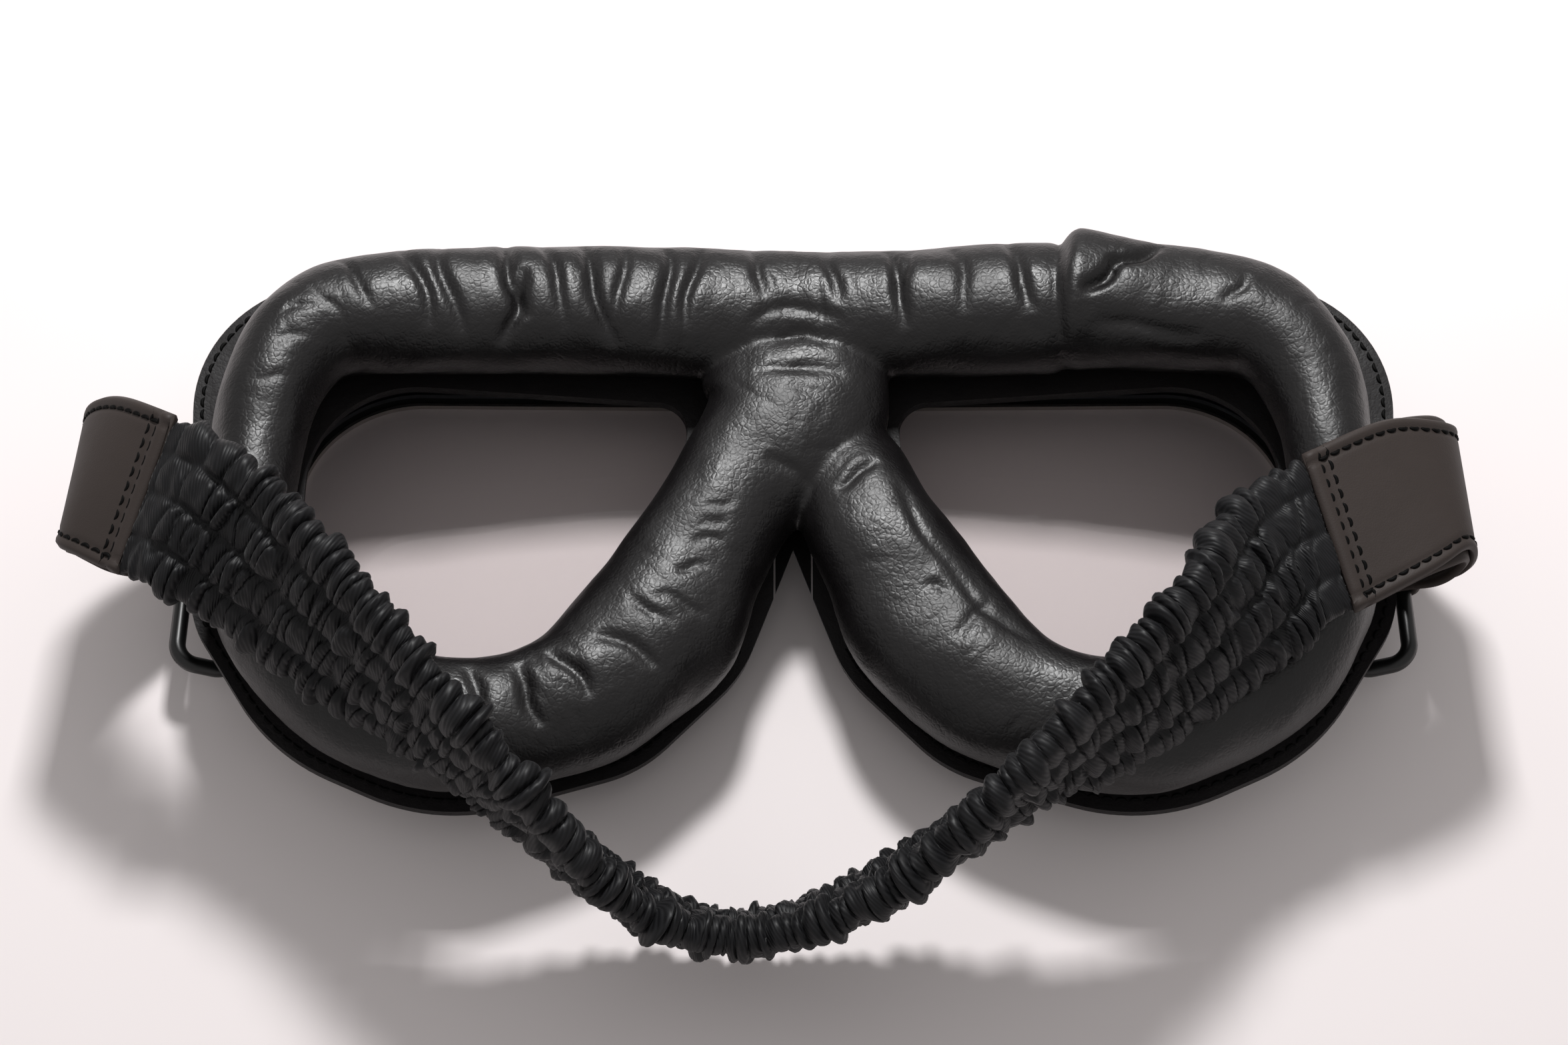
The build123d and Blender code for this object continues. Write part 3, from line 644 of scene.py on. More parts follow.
def stuffed_roll(name, tables, wrinkles, seed):
    """A leather roll made of tubes, welded, softened, wrinkled and laid on the flange."""
    points, faces, offset = [], [], 0
    for table in tables:
        tube = grid_mesh(name, tube_rings(table))
        points.append(coordinates(tube) / MM)
        faces += [tuple(v + offset for v in face.vertices) for face in tube.polygons]
        offset += len(tube.vertices)
        bpy.data.meshes.remove(tube)
    mesh = bpy.data.meshes.new(name)
    mesh.from_pydata(np.vstack(points).tolist(), [], faces)
    obj = bpy.data.objects.new(name, mesh)
    bpy.context.scene.collection.objects.link(obj)
    weld = obj.modifiers.new("weld", "REMESH")
    weld.mode = "VOXEL"
    weld.voxel_size = ROLL_VOXEL
    soften = obj.modifiers.new("soften", "SMOOTH")
    soften.iterations = SMOOTH_ROUNDS
    welded = applied(obj)
    places = coordinates(welded)
    normals = coordinates(welded, "normal")
    facing = np.clip(1.6 * normals[:, 2] + 0.2, 0, 1)
    move = wrinkle_depths(places, wrinkles) * facing
    for index, (size, height) in enumerate(LUMPS):
        move = move + height * lumps(places, size, seed + index)
    free = np.clip(places[:, 2] / SEWN_FOOT, 0, 1)
    places = places + normals * (move * free)[:, None]
    places[:, 2] = np.maximum(places[:, 2], LOWEST)
    welded.vertices.foreach_set("co", (on_pad(places) * MM).ravel())
    turn_outwards(welded)
    bpy.data.objects.remove(obj)
    return piece(name, welded, glove_leather)


# %% Make the roll
fine_wrinkles = scattered_wrinkles(LONG_ROLL, 11, [
    (0.0, 0.1, 6, 0.13), (0.1, 0.3, 16, 0.15), (0.3, 0.52, 20, 0.13), (0.56, 0.86, 36, 0.18),
    (0.86, 1.0, 8, 0.12)])
fine_wrinkles += scattered_wrinkles(SHORT_ROLL, 12, [
    (0.0, 0.2, 8, 0.15), (0.2, 0.55, 18, 0.1), (0.55, 1.0, 22, 0.13)])
face_roll = stuffed_roll("face_roll", [LONG_ROLL, SHORT_ROLL],
                         placed_wrinkles + fine_wrinkles, 21)
print("the roll has", len(face_roll.data.polygons), "faces")

# %% [markdown]
# ## The gathered strap
#
# The strap is flat elastic inside a satin sleeve about twice as long. Relaxed, the
# elastic pulls the sleeve into tight pleats, and three rows of stitches hold it in
# four channels, so each channel has pleats of its own, and those of the edges wrap
# round them. Cloth simulation could gather it, but hardly with pleats as tight and
# even as these. So the sleeve is built: its section is a rounded ring of points that
# follows the route of the CAD solid to within 4 mm, and the pleats move those points
# outwards. Along the route the width stands square to the strap, but it stays slanted
# at both ends, because the tabs hold them so.

# %% Strap route: place and width direction, in mm
STRAP_ROUTE = [
    (-91.00, -11.40, 42.32, 0.335, 0.860, 0.412), (-90.16, -11.87, 42.60, 0.335, 0.860, 0.412),
    (-88.48, -12.79, 43.17, 0.335, 0.860, 0.412), (-80.4, -18.0, 43.1, 0.45, 0.62, 0.64),
    (-67.4, -29.4, 42.2, 0.47, 0.29, 0.84), (-51.1, -43.7, 39.5, 0.36, -0.10, 0.93),
    (-37.8, -54.8, 33.0, 0.22, -0.28, 0.93), (-23.0, -63.0, 20.0, 0, -0.45, 0.89),
    (-8.5, -66.6, 15.0, 0, -0.40, 0.92), (4.3, -64.9, 18.0, 0, -0.45, 0.89),
    (16.0, -60.8, 24.0, 0, -0.45, 0.89), (33.3, -51.8, 35.5, -0.17, -0.24, 0.96),
    (44.5, -44.2, 38.5, -0.30, 0.05, 0.94), (61.3, -28.6, 40.0, -0.44, 0.40, 0.80),
    (72.83, -16.83, 38.13, -0.27, 0.90, 0.28), (74.60, -15.90, 38.17, -0.27, 0.90, 0.28),
    (75.49, -15.44, 38.19, -0.27, 0.90, 0.28),
]
STRAP_STEP = 0.24
SLANTED_END = 12

strap_line, strap_places = smooth_rows(STRAP_ROUTE, STRAP_STEP, 3)
strap_length = strap_places[-1]
ahead = unit(np.gradient(strap_line[:, :3], axis=0))
wide = strap_line[:, 3:]
square = 1 - np.exp(-(np.minimum(strap_places, strap_length - strap_places) / SLANTED_END) ** 2)
wide = unit(wide - square[:, None] * ahead * (wide * ahead).sum(1, keepdims=True))
thick = unit(np.cross(ahead, wide))
print("strap is", round(strap_length, 1), "mm along, in", len(strap_line), "rings")


# %% Strap section
SECTION_POINTS = 120
CORE_HALF_WIDTH = 10.8
CORE_HALF_THICK = 2.2
CORE_ROUNDNESS = 0.62
STITCH_ROWS = (-6.0, 0.5, 6.5)
CHANNEL_SHIFTS = (0.37, 0.81, 0.24, 0.58, 0.45, 0.55)
CHANNEL_BLUR = 0.3


def waves(along, around, seed, sizes):
    """A smooth wandering value near -1 to 1 over the strap, from crossing waves."""
    chance = np.random.default_rng(seed)
    total = 0
    for size in sizes:
        slant = chance.uniform(-0.5, 0.5)
        total = total + np.sin(2 * math.pi * (along + slant * around) / size
                               + chance.uniform(0, 6.3))
    return total / len(sizes)


def strap_section():
    """Even places round the core, from the middle of the lower face, with their normals."""
    turn = np.linspace(-math.pi / 2, 1.5 * math.pi, 721)
    shape = np.column_stack([np.cos(turn), np.sin(turn)])
    shape = np.sign(shape) * np.abs(shape) ** CORE_ROUNDNESS * [CORE_HALF_WIDTH, CORE_HALF_THICK]
    run = np.concatenate([[0], np.cumsum(np.linalg.norm(np.diff(shape, axis=0), axis=1))])
    even = np.linspace(0, run[-1], SECTION_POINTS + 1)[:-1]
    ring = np.stack([np.interp(even, run, shape[:, k]) for k in range(2)], 1)
    slope = np.roll(ring, -1, 0) - np.roll(ring, 1, 0)
    return ring, unit(np.column_stack([slope[:, 1], -slope[:, 0]])), even, run[-1]


section, section_normals, around, section_length = strap_section()
print("the strap's core is", round(section_length, 1), "mm around")


def channels():
    """The pleats' shift round the section, which changes at each row of stitches."""
    shift = np.zeros(SECTION_POINTS)
    crossings = []
    for row in STITCH_ROWS:
        for face in (-1, 1):
            near = np.abs(section[:, 0] - row) + 9 * (section[:, 1] * face < 0)
            crossings.append(around[np.argmin(near)])
    for place, change in zip(sorted(crossings), CHANNEL_SHIFTS):
        shift += change / (1 + np.exp(-(around - place) / CHANNEL_BLUR))
    return shift


# %% [markdown]
# A pleat is half a sine wave with a full crest and a narrow fold. Waves of several
# lengths make the pitch and the size of the pleats wander, and a slower set of folds
# gathers them in clusters, as the needle did. At the rows of stitches the cloth is
# pinched flat. The crests also sway to and fro along the strap, which turns straight
# rings into S-shaped folds. Near the tabs the pleats are wide and loose.

# %% Pitch and size of the pleats
PLEAT_PITCH = 1.95
SLOW_WANDER = 0.45
QUICK_WANDER = 0.24
MEAN_SIZE = 0.82
SIZE_SPREAD = 0.4
SIZE_BEAT = 0.14
SIZE_LIMITS = (0.3, 1.25)


def pleats(count, shift, seed):
    """One set of folds: where each place is in its fold, and how large that fold is."""
    along, side = strap_places[:, None], around[None, :]
    wander = (SLOW_WANDER * waves(along + 9 * shift, side, seed, (17, 11, 7.3))
              + QUICK_WANDER * waves(along, side, seed + 6, (4.1, 5.3)))
    turn = count + wander + shift
    size = (MEAN_SIZE + SIZE_SPREAD * waves(along + 5 * shift, side, seed + 16, (5.3, 8.9, 13.7))
            + SIZE_BEAT * np.sin(math.pi * 1.21 * turn))
    return turn, np.clip(size, *SIZE_LIMITS)


def near_rows(width):
    """How near each place of the section is to a row of stitches, from 0 to 1."""
    return sum(np.exp(-((section[:, 0] - row) / width) ** 2) for row in STITCH_ROWS)


# %% Pleated rings
PLEAT_HEIGHT = 1.9
PLEAT_FULLNESS = 0.62
CLUSTER_SHARE = 0.42
CLUSTER_LOW = 0.62
CLUSTER_GAIN = 0.5
LOOSE_LENGTH = 9.0
LOOSE_PITCH = 1.3
LOOSE_FLATNESS = 0.35
SEWN_LENGTH = 6
SEWN_HALF_THICK = 1.1
PINCH_WIDTH = 0.6
PINCH_DEPTH = 0.72
HOLLOW_WIDTH = 1.7
HOLLOW_DEPTH = 0.45
FACE_SWELL = 0.88
EDGE_SWELL = 0.22
PUFF_HEIGHT = 0.55
CREASE_HEIGHT = 0.13
LEAN = 0.24
SLOW_SWAY = 0.5
QUICK_SWAY = 0.24
# Each set of waves has a seed and its lengths in mm.
PUFFS = (61, (12.7, 9.1, 6.7))
CREASES = (53, (1.9, 2.7, 3.3))
SLOW_WAVES = (59, (23, 15, 6.1))
QUICK_WAVES = (97, (9.7, 7.9, 5.1))


def strap_rings():
    """The whole sleeve as rings of points, pleated along the section's normals."""
    along, side = strap_places[:, None], around[None, :]
    from_end = np.minimum(along, strap_length - along)
    loose = np.exp(-(from_end / LOOSE_LENGTH) ** 2)
    count = np.cumsum(STRAP_STEP / (PLEAT_PITCH * (1 + LOOSE_PITCH * loose)), axis=0)
    shift = channels()[None, :]
    turn, size = pleats(count, shift, 31)
    cluster_turn, _ = pleats(count * CLUSTER_SHARE, shift, 83)
    cluster = CLUSTER_LOW + CLUSTER_GAIN * np.sin(math.pi * cluster_turn) ** 2
    height = np.abs(np.sin(math.pi * turn)) ** PLEAT_FULLNESS * size * cluster
    pinched = near_rows(PINCH_WIDTH)
    edge = (np.abs(section[:, 0]) / CORE_HALF_WIDTH) ** 5
    flattened = (1 - PINCH_DEPTH * pinched) * (1 - LOOSE_FLATNESS * loose)
    swell = PLEAT_HEIGHT * height * flattened * (FACE_SWELL + EDGE_SWELL * edge)
    puff = PUFF_HEIGHT * waves(along, side * 0.6, *PUFFS) * (1 - pinched) * (1 - loose)
    out = swell + puff - HOLLOW_DEPTH * near_rows(HOLLOW_WIDTH)
    out = out + CREASE_HEIGHT * waves(along, side * 2, *CREASES)
    free = (1 - 0.8 * pinched) * (1 - 0.6 * loose)
    sway = (SLOW_SWAY * waves(along, side * 0.4, *SLOW_WAVES)
            + QUICK_SWAY * waves(along, side * 1.5, *QUICK_WAVES))
    slide = -LEAN * np.sin(2 * math.pi * turn) * free + sway * height * free
    thin = np.clip(from_end / SEWN_LENGTH, 0, 1)
    flatter = (SEWN_HALF_THICK + (CORE_HALF_THICK - SEWN_HALF_THICK) * thin) / CORE_HALF_THICK
    across = section[:, 0] + section_normals[:, 0] * out
    through = section[:, 1] * flatter + section_normals[:, 1] * out * (0.45 + 0.55 * thin)
    return (strap_line[:, None, :3] + wide[:, None] * across[..., None]
            + thick[:, None] * through[..., None] + ahead[:, None] * slide[..., None])


# %% [markdown]
# The weave has to follow the folds, so the sleeve gets a UV map, measured on the flat
# cloth: the way along the strap times the gather, and the way round its section. The
# last faces close the ring, so their far corners get the full way round, not zero.

# %% Weave map
GATHER = 1.9


def cloth_map(mesh, rings_along):
    """A UV map in metres of flat cloth, so that the weave can be sized in mm."""
    flat = np.stack(np.broadcast_arrays(rings_along[:, None] * GATHER, around[None, :]), -1)
    places = np.vstack([flat.reshape(-1, 2), flat[0].mean(0), flat[-1].mean(0)])
    corners = np.empty(len(mesh.loops), int)
    mesh.loops.foreach_get("vertex_index", corners)
    places = places[corners]
    quads = (len(rings_along) - 1) * SECTION_POINTS * 4
    closing = np.arange(quads) // 4 % SECTION_POINTS == SECTION_POINTS - 1
    first = corners[:quads] % SECTION_POINTS == 0
    places[:quads][closing & first, 1] = section_length
    layer = mesh.uv_layers.new(name="weave")
    layer.data.foreach_set("uv", (places * MM).ravel())


# %% [markdown]
# The strap crosses all three joints, so it is cut in three lengths, one for each. The
# ends run from a tab to a half of the mask, the middle from one half to the other.

# %% Make the three lengths of the strap
rings = strap_rings()
cuts = [round(share * (len(rings) - 1)) for share in (0, 0.3, 0.7, 1)]
strap_pieces = {}
for name, first, last in zip(("left", "middle", "right"), cuts, cuts[1:]):
    mesh = grid_mesh(f"{name}_satin_sleeve", rings[first:last + 1])
    cloth_map(mesh, strap_places[first:last + 1])
    strap_pieces[name] = piece(f"{name}_satin_sleeve", mesh, satin)
    print(name, "sleeve has", len(mesh.polygons), "faces")

# %% [markdown]
# ## The leather tabs
#
# Each tab is one strip of leather, folded round the bar of the wire loop and sewn
# to itself, with the strap's end between its two leaves. So the model is one strip
# too: its line runs down the outer side, round the bar and up the inner side. It
# tapers towards the bar, which is narrower than the strap. The strip's section is a
# flat rounded bar with a shallow groove under each row of stitches, because tight
# thread sinks into leather, and with a hem that puffs up beside it.

# %% Tab sizes in mm, and its line
BAR = np.array([92.758, -4.0, 8.985])
TAB_WIDTH = 24.0
LEAF = 1.1
LEAF_GAP = 0.12
BAR_RADIUS = 1.3
LEFT_TAB_TURN = math.radians(20)
# Each row is a place, in shares of the tab's reach from its bar, and a width direction.
TAB_LINE = [
    (-0.13, 0, 0.36, 0, 1, 0), (-0.23, 0.01, 0.60, 0, 1, 0), (-0.26, 0.04, 0.75, -0.02, 1, 0),
    (-0.18, 0.11, 0.87, -0.06, 0.99, 0.04), (0.02, 0.25, 0.945, -0.14, 0.98, 0.11),
    (0.27, 0.42, 0.985, -0.20, 0.95, 0.17), (0.62, 0.70, 1.005, -0.25, 0.92, 0.24),
    (1, 1, 1, -0.27, 0.90, 0.28),
]
TAB_REACH = {"left": np.array([-12.8, -9.5, 30.7]), "right": np.array([-17.0, -11.3, 29.2])}
TAB_SLIDE = {"left": 2.2, "right": 0.0}
TAB_LEAN = {"left": 1.7, "right": 1.0}


def tab_strip(name):
    """The strip's middle line with its width direction, in mm, for one side."""
    bar = BAR + [0, TAB_SLIDE[name], 0]
    middle = np.array(TAB_LINE) * [1, 1, 1, TAB_LEAN[name], 1, 1]
    middle[:, :3] = bar + middle[:, :3] * TAB_REACH[name]
    line, _ = smooth_rows(middle, 0.8, 3)
    forward = unit(np.gradient(line[:, :3], axis=0))
    width = unit(line[:, 3:])
    out = unit(np.cross(forward, width))
    shift = (LEAF + LEAF_GAP) / 2
    outer = line[:, :3] - out * shift
    inner = line[:, :3] + out * shift
    turns = np.radians(np.linspace(15, -195, 22))
    radius = BAR_RADIUS + LEAF / 2
    round_bar = np.array([bar + radius * np.array([math.cos(a), 0, math.sin(a)]) for a in turns])
    path = np.vstack([outer[::-1], round_bar, inner])
    across = np.vstack([width[::-1], np.tile([0, 1.0, 0], (len(round_bar), 1)), width])
    rows, _ = smooth_rows(np.hstack([path, across])[::2], 0.7, 3)
    return rows[:, :3], unit(rows[:, 3:])


def swung(points, side):
    """Points of a right tab put in place: the left tab is its mirror image, swung out."""
    if side > 0:
        return points
    turn = LEFT_TAB_TURN
    moved = points - BAR
    turned = np.stack([
        moved[..., 0] * math.cos(turn) + moved[..., 2] * math.sin(turn), moved[..., 1],
        -moved[..., 0] * math.sin(turn) + moved[..., 2] * math.cos(turn)], -1) + BAR
    turned[..., 0] *= -1
    return turned


# %% Tab width
FOLD_PLACE = 23.0
FOLD_PINCH = 0.13
FOLD_LENGTH = 6
TAPER = 0.36
TAPER_REACH = 24
TAPER_SHIFT = 2.9


def tab_shape(name):
    """The strip's path, directions, distance along and half width, for one side."""
    path, across = tab_strip(name)
    out = unit(np.cross(unit(np.gradient(path, axis=0)), across))
    run = np.concatenate([[0], np.cumsum(np.linalg.norm(np.diff(path, axis=0), axis=1))])
    taper = np.clip(1 - np.abs(run - run[-1] / 2) / TAPER_REACH, 0, 1)
    taper = taper**2 * (3 - 2 * taper)
    pinch = FOLD_PINCH * np.exp(-((run - FOLD_PLACE) / FOLD_LENGTH) ** 2)
    half = TAB_WIDTH / 2 * (1 - pinch - TAPER * taper)
    return path + across * (TAPER_SHIFT * taper)[:, None], across, out, run, half


SIDES = {"left": -1, "right": 1}
tab_shapes = {name: tab_shape(name) for name in SIDES}
print("tab strips are", [round(float(shape[3][-1]), 1) for shape in tab_shapes.values()], "mm")


# %% Tab strips
STITCH_INSET = 1.9
HEM = 2.4
TAB_POINTS = 48
EDGE_ROUNDING = 0.55
GROOVE_WIDTH = 0.45
GROOVE_DEPTH = 0.28
END_GROOVE_DEPTH = 0.3
PUFF_PLACE = 1.05
SIDE_PUFF = 0.16
END_PUFF = 0.4


def tab_mesh(name, side, shape):
    """One folded strip with puffed hems outside the stitches and a turned hem at its end."""
    share = np.linspace(-1, 1, TAB_POINTS)
    rings = []
    for centre, wide_way, out_way, run, half in zip(*shape):
        across = share * half
        from_edge = half - np.abs(across)
        rim = np.clip(from_edge / EDGE_ROUNDING, 0, 1)
        round_edge = np.sqrt(1 - (1 - rim) ** 2) * 0.92 + 0.08
        groove = GROOVE_DEPTH * np.exp(-((from_edge - STITCH_INSET) / GROOVE_WIDTH) ** 2)
        puff = SIDE_PUFF * np.clip(1 - np.abs(from_edge - PUFF_PLACE) / PUFF_PLACE, 0, 1) ** 0.5
        end_groove = END_GROOVE_DEPTH * np.exp(-((run - HEM) / GROOVE_WIDTH) ** 2)
        end_puff = END_PUFF * np.clip(1 - abs(run - HEM / 2) / (HEM / 2), 0, 1) ** 0.4
        height = (LEAF / 2 + puff + end_puff) * round_edge - groove - end_groove
        upper = centre + across[:, None] * wide_way + height[:, None] * out_way
        lower = centre + across[::-1, None] * wide_way - LEAF / 2 * round_edge[:, None] * out_way
        rings.append(np.vstack([upper, lower]))
    return grid_mesh(name, swung(np.array(rings), side))


tabs = {}
for name, side in SIDES.items():
    mesh = tab_mesh(f"{name}_tab_leather", side, tab_shapes[name])
    tabs[name] = piece(f"{name}_tab_leather", mesh, tab_leather)
    print(tabs[name].name, "has", len(mesh.polygons), "faces")

# %% [markdown]
# ## Stitches
#
# A lockstitch shows as a row of short rounded bars that dip into the leather at
# both ends. Geometry Nodes repeat one stitch along each seam: the seam is a curve,
# resampled at the stitch length, and every point gets the stitch turned along it.

# %% Stitch builder
STITCH_LENGTH = 2.0
STITCH_HALF = 0.85
THREAD_RADIUS = 0.3
STITCH_RISE = 0.12
STITCH_DIP = 0.26


def stitch_model():
    """One stitch: a short bent bar of thread."""
    rows = []
    for share in np.linspace(-1, 1, 7):
        radius = THREAD_RADIUS * math.sqrt(max(1 - abs(share) ** 3, 0.05))
        centre = np.array([share * STITCH_HALF, 0, STITCH_RISE - STITCH_DIP * share**2])
        rows.append([centre + radius * np.array([0, math.cos(a), math.sin(a)])
                     for a in np.linspace(0, 2 * math.pi, 6, endpoint=False)])
    return bpy.data.objects.new("stitch", grid_mesh("stitch", np.array(rows)))


def seam_tree():
    """A node tree that repeats a stitch along a curve."""
    tree = bpy.data.node_groups.new("row_of_stitches", "GeometryNodeTree")
    face = tree.interface
    face.new_socket("Seam", in_out="INPUT", socket_type="NodeSocketGeometry")
    face.new_socket("Stitch", in_out="INPUT", socket_type="NodeSocketObject")
    face.new_socket("Stitch length", in_out="INPUT", socket_type="NodeSocketFloat")
    face.new_socket("Thread", in_out="INPUT", socket_type="NodeSocketMaterial")
    face.new_socket("Row", in_out="OUTPUT", socket_type="NodeSocketGeometry")
    given = add_node(tree, "NodeGroupInput").outputs
    even = add_node(tree, "GeometryNodeResampleCurve", {
        "Curve": given["Seam"], "Length": given["Stitch length"]}, mode="LENGTH")
    along = add_node(tree, "GeometryNodeInputTangent").outputs["Tangent"]
    up = add_node(tree, "GeometryNodeInputNormal").outputs["Normal"]
    turn_x = add_node(tree, "FunctionNodeAlignRotationToVector", {"Vector": along}, axis="X")
    turn_z = add_node(tree, "FunctionNodeAlignRotationToVector", {
        "Rotation": turn_x.outputs["Rotation"], "Vector": up}, axis="Z", pivot_axis="X")
    model = add_node(tree, "GeometryNodeObjectInfo", {"Object": given["Stitch"]})
    copies = add_node(tree, "GeometryNodeInstanceOnPoints", {
        "Points": even.outputs["Curve"], "Instance": model.outputs["Geometry"],
        "Rotation": turn_z.outputs["Rotation"]})
    real = add_node(tree, "GeometryNodeRealizeInstances", {"Geometry": copies.outputs["Instances"]})
    dressed = add_node(tree, "GeometryNodeSetMaterial", {
        "Geometry": real.outputs["Geometry"], "Material": given["Thread"]})
    add_node(tree, "NodeGroupOutput", {"Row": dressed.outputs["Geometry"]})
    return tree


stitch = stitch_model()
seams = seam_tree()
print("one stitch has", len(stitch.data.polygons), "faces")


def sew(name, seam_lines):
    """A piece with one row of stitches along each line of points in mm."""
    curve = bpy.data.curves.new(name, "CURVE")
    curve.dimensions = "3D"
    for line in seam_lines:
        spline = curve.splines.new("POLY")
        spline.points.add(len(line) - 1)
        spline.points.foreach_set("co", np.hstack([line * MM, np.ones((len(line), 1))]).ravel())
    obj = bpy.data.objects.new(name, curve)
    bpy.context.scene.collection.objects.link(obj)
    rows = obj.modifiers.new("rows", "NODES")
    rows.node_group = seams
    values = {"Stitch": stitch, "Stitch length": STITCH_LENGTH * MM, "Thread": thread}
    for item in seams.interface.items_tree:
        if item.in_out == "INPUT" and item.name in values:
            rows[item.identifier] = values[item.name]
    mesh = applied(obj)
    bpy.data.objects.remove(obj)
    return piece(name, mesh, thread)


# %% [markdown]
# The flange is stitched 1.6 mm inside its edge. The seam follows the flange's own
# outline: straight runs between corners that are rounded with an arc. It stops 8 mm
# from the middle, so that no stitches meet when the two halves fold.

# %% Flange outline: across, up and corner radius in mm
FLANGE_CORNERS = [
    (0.8, 44.8, 0), (94.1, 38.1, 22.3), (89.6, -18.5, 16.1), (76.1, -38.5, 30.1),
    (51.4, -48.3, 30.7), (22.2, -38.5, 21.5), (7.6, -23.0, 21.4), (1.3, -5.2, 0),
]


def rounded_line(corners, step):
    """An open line with rounded corners, as places every step."""
    places = []
    for index, (x, y, radius) in enumerate(corners):
        here = np.array([x, y])
        if radius == 0:
            places.append(here)
            continue
        to_last = unit(np.array(corners[index - 1][:2]) - here)
        to_next = unit(np.array(corners[index + 1][:2]) - here)
        half_angle = math.acos(float(to_last @ to_next)) / 2
        centre = here + unit(to_last + to_next) * radius / math.sin(half_angle)
        reach = radius / math.tan(half_angle)
        start, end = here + to_last * reach - centre, here + to_next * reach - centre
        for share in np.linspace(0, 1, 14):
            places.append(centre + radius * unit(start * (1 - share) + end * share))
    return even_steps(np.array(places), step)


def even_steps(places, step):
    """Places every step along straight runs between the given ones."""
    lengths = np.concatenate([[0], np.cumsum(np.linalg.norm(np.diff(places, axis=0), axis=1))])
    even = np.linspace(0, lengths[-1], max(2, round(lengths[-1] / step)))
    return np.stack([np.interp(even, lengths, places[:, k]) for k in range(places.shape[1])], 1)


def inset(line, amount):
    """A line moved to its right by an amount."""
    ahead_2d = unit(np.gradient(line, axis=0))
    return line + np.stack([ahead_2d[:, 1], -ahead_2d[:, 0]], 1) * amount


# %% Sew the flange
FLANGE_SEAM_INSET = 1.6
SEAM_START = 8.0
SEAM_LIFT = 0.05
edge_line = inset(rounded_line(FLANGE_CORNERS, 1.0), FLANGE_SEAM_INSET)
edge_line = edge_line[edge_line[:, 0] > SEAM_START]
flange_seams = {}
for name, side in SIDES.items():
    flat_line = np.column_stack([edge_line * [side, 1], np.full(len(edge_line), SEAM_LIFT)])
    flange_seams[name] = sew(f"{name}_flange_stitches", [on_pad(flat_line)])
    print(flange_seams[name].name, "has", len(flange_seams[name].data.polygons), "faces")

# %% [markdown]
# Each tab has a row of stitches along each edge of its outer leaf, which stops before
# the bar, and two rows across its end, where the strap is sewn in.

# %% Sew the tabs
BAR_CLEARANCE = 6
END_ROW_GAP = 0.9
END_ROW_INSET = 1.2
SEAM_SINK = 0.12
tab_stitches = {}
for name, side in SIDES.items():
    lines = []
    lift = LEAF / 2 - SEAM_SINK
    path, across, out, run, half = tab_shapes[name]
    for edge in (-1, 1):
        line = path + across * (edge * (half - STITCH_INSET))[:, None] + out * lift
        lines.append(line[(run > HEM) & (run < run[-1] / 2 - BAR_CLEARANCE)])
    for from_end in (HEM, HEM + END_ROW_GAP):
        index = np.argmin(np.abs(run - from_end))
        spread = np.linspace(-1, 1, 30)[:, None] * (half[index] - END_ROW_INSET)
        lines.append(path[index] + across[index] * spread + out[index] * lift)
    tab_stitches[name] = sew(f"{name}_tab_stitches", [swung(line, side) for line in lines])
    print(tab_stitches[name].name, "has", len(tab_stitches[name].data.polygons), "faces")

# %% [markdown]
# ## Floor
#
# The table is white laminate: pressed under heat against a smooth plate, so it is
# even and only faintly glossy. It lies just under the lens rims.

# %% Floor
CLOUDY_FLOOR_MM = 60
FLOOR_REACH = 3
FLOOR_DROP = 0.00005


def floor_material():
    """White laminate with a hardly visible unevenness of tone."""
    material, tree, shader = new_material("white_laminate")
    place = add_node(tree, "ShaderNodeTexCoord").outputs["Object"]
    cloudy = add_node(tree, "ShaderNodeTexNoise", {"Vector": place, "Scale": per_mm(CLOUDY_FLOOR_MM)})
    tone = add_node(tree, "ShaderNodeMix", {
        "Factor": cloudy.outputs["Fac"], "A": colour("#f4ecec"), "B": colour("#f8f1f1")},
        data_type="RGBA")
    tree.links.new(tone.outputs["Result"], shader.inputs["Base Color"])
    shader.inputs["Roughness"].default_value = 0.6
    shader.inputs["Specular IOR Level"].default_value = 0.2
    return material


floor_mesh = bpy.data.meshes.new("floor")
floor_corners = [(x * FLOOR_REACH, y * FLOOR_REACH, -FLOOR_DROP)
                 for x, y in ((-1, -1), (1, -1), (1, 1), (-1, 1))]
floor_mesh.from_pydata(floor_corners, [], [(0, 1, 2, 3)])
floor = piece("floor", floor_mesh, floor_material())
print("the floor is", 2 * FLOOR_REACH, "m wide")

# %% [markdown]
# ## Lamp and world
#
# One small soft lamp hangs 420 mm above the table, 250 mm beyond the goggles. A lamp
# this near throws shadows that spread outwards at the left and the right, and draws
# a bright line along the top of each roll. The backdrop is white to the camera
# and through glass, and dim in gloss, so black leather stays black. To all other rays
# it is the room's soft light, which fills the shadows.

# %% Lamp
LAMP_PLACE = (-0.005, 0.25, 0.42)
LAMP_POWER = 2.1
LAMP_SIZE = 0.075


def lamp(name, place, power, size):
    """A square soft lamp aimed at the goggles."""
    data = bpy.data.lights.new(name, "AREA")
    data.energy = power
    data.size = size
    obj = bpy.data.objects.new(name, data)
    obj.location = place
    obj.rotation_euler = (obj.location - AIM * MM).to_track_quat("Z", "Y").to_euler()
    bpy.context.scene.collection.objects.link(obj)


lamp("near_lamp", LAMP_PLACE, LAMP_POWER, LAMP_SIZE)
print("one lamp of", LAMP_POWER, "W at", LAMP_PLACE, "m")

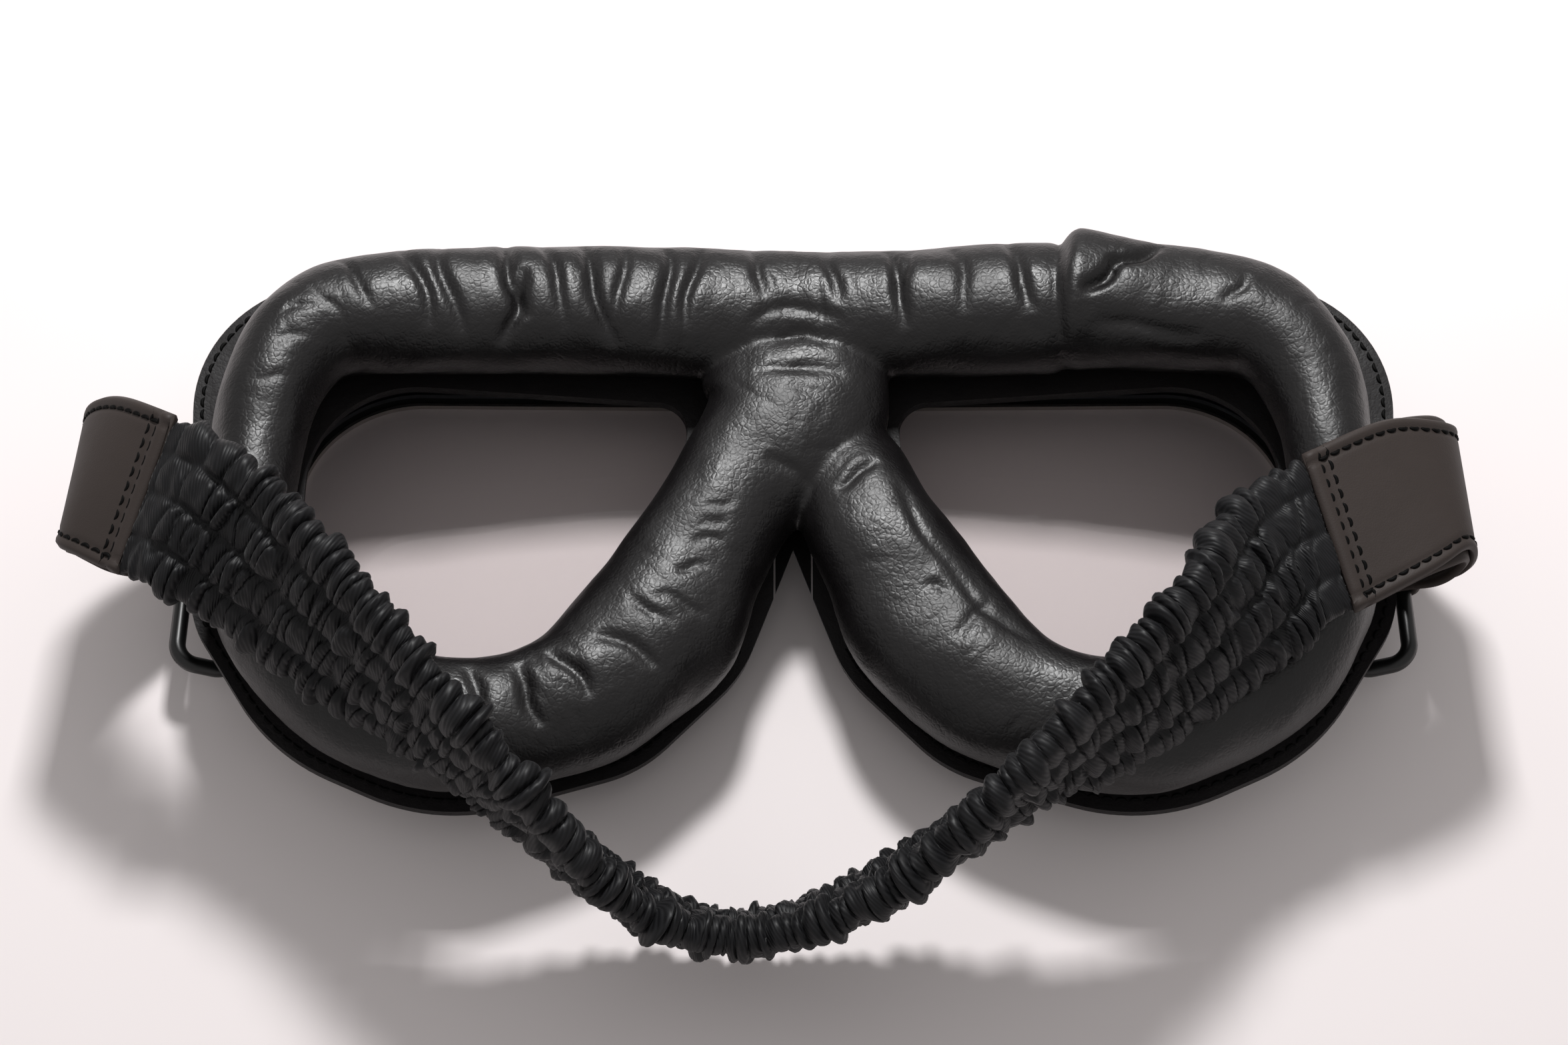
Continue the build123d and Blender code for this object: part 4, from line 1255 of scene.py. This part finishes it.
# %% World
GLOSS_SHARE = 0.1
ROOM_LIGHT = 0.44
BACKDROP_LIGHT = 0.95
world = bpy.data.worlds.new("pale_room")
bpy.context.scene.world = world
world.use_nodes = True
sky = world.node_tree
backdrop = sky.nodes["Background"]
backdrop.inputs["Color"].default_value = colour("#fbf9f8")
rays = add_node(sky, "ShaderNodeLightPath").outputs
seen = add_node(sky, "ShaderNodeMath", operation="MULTIPLY_ADD")
sky.links.new(rays["Is Glossy Ray"], seen.inputs[0])
seen.inputs[1].default_value = GLOSS_SHARE
sky.links.new(rays["Is Camera Ray"], seen.inputs[2])
shown = add_node(sky, "ShaderNodeMath", operation="ADD", use_clamp=True)
sky.links.new(seen.outputs["Value"], shown.inputs[0])
sky.links.new(rays["Is Transmission Ray"], shown.inputs[1])
level = add_node(sky, "ShaderNodeMapRange", {
    "Value": shown.outputs["Value"], "To Min": ROOM_LIGHT, "To Max": BACKDROP_LIGHT})
sky.links.new(level.outputs["Result"], backdrop.inputs["Strength"])

bpy.context.scene.view_settings.view_transform = "Standard"
print("room light", ROOM_LIGHT, "and backdrop", BACKDROP_LIGHT)

# %% [markdown]
# ## What moves with what
#
# The two halves fold a little at the nose hinge and each tab swings about its bar.
# The tabs and their stitches ride on the tab bodies, and each flange seam on its half
# of the mask. The roll, the strap's three lengths and the web are left on no body. The
# web under the nose is a CAD node, which stays on one body, so a copy of its mesh takes
# its place. The copy's loose triangles are merged first. The normals that it brings
# along no longer fit then, so they are dropped, and its sharp edges are marked instead.

# %% Roll
HALVES = ("left_half", "right_half")
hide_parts("left_pad_cover", "left_pad_foam", "right_pad_cover", "right_pad_foam",
            "nose_pad_cover", "nose_pad_foam")
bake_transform(face_roll)

# %% Nose web
MERGE_DISTANCE = 0.001 * MM
SHARP_ANGLE = math.radians(30)
web_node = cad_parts["nose_web"]
web_mesh = web_node.data.copy()
web_mesh.transform(web_node.matrix_world)
form = bmesh.new()
form.from_mesh(web_mesh)
bmesh.ops.remove_doubles(form, verts=form.verts, dist=MERGE_DISTANCE)
form.to_mesh(web_mesh)
form.free()
web_mesh.attributes.remove(web_mesh.attributes["custom_normal"])
nose_web = piece("nose_web_leather", web_mesh, mask_leather)
web_mesh.set_sharp_from_angle(angle=SHARP_ANGLE)
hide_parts("nose_web")
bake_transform(nose_web)
print("the nose web has", len(web_mesh.vertices), "vertices after merging")

# %% Strap
STRAP_BENDS = {
    "left": ("left_tab", "left_half", (-0.0895, -0.0125, 0.042), (-0.035, -0.057, 0.031)),
    "middle": (*HALVES, (-0.030, -0.06, 0.02), (0.022, -0.06, 0.02)),
    "right": ("right_tab", "right_half", (0.074, -0.0165, 0.038), (0.028, -0.055, 0.033)),
}
for name, (body_a, body_b, start, end) in STRAP_BENDS.items():
    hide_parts(f"{name}_strap_sleeve", f"{name}_strap_elastic")
    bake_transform(strap_pieces[name])

# %% Tabs and stitches
for name in SIDES:
    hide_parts(f"{name}_strap_tab", f"{name}_tab_lining")
    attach(tabs[name], f"{name}_tab")
    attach(tab_stitches[name], f"{name}_tab")
    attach(flange_seams[name], f"{name}_half")

# %% Finish
bpy.data.objects.remove(stitch)
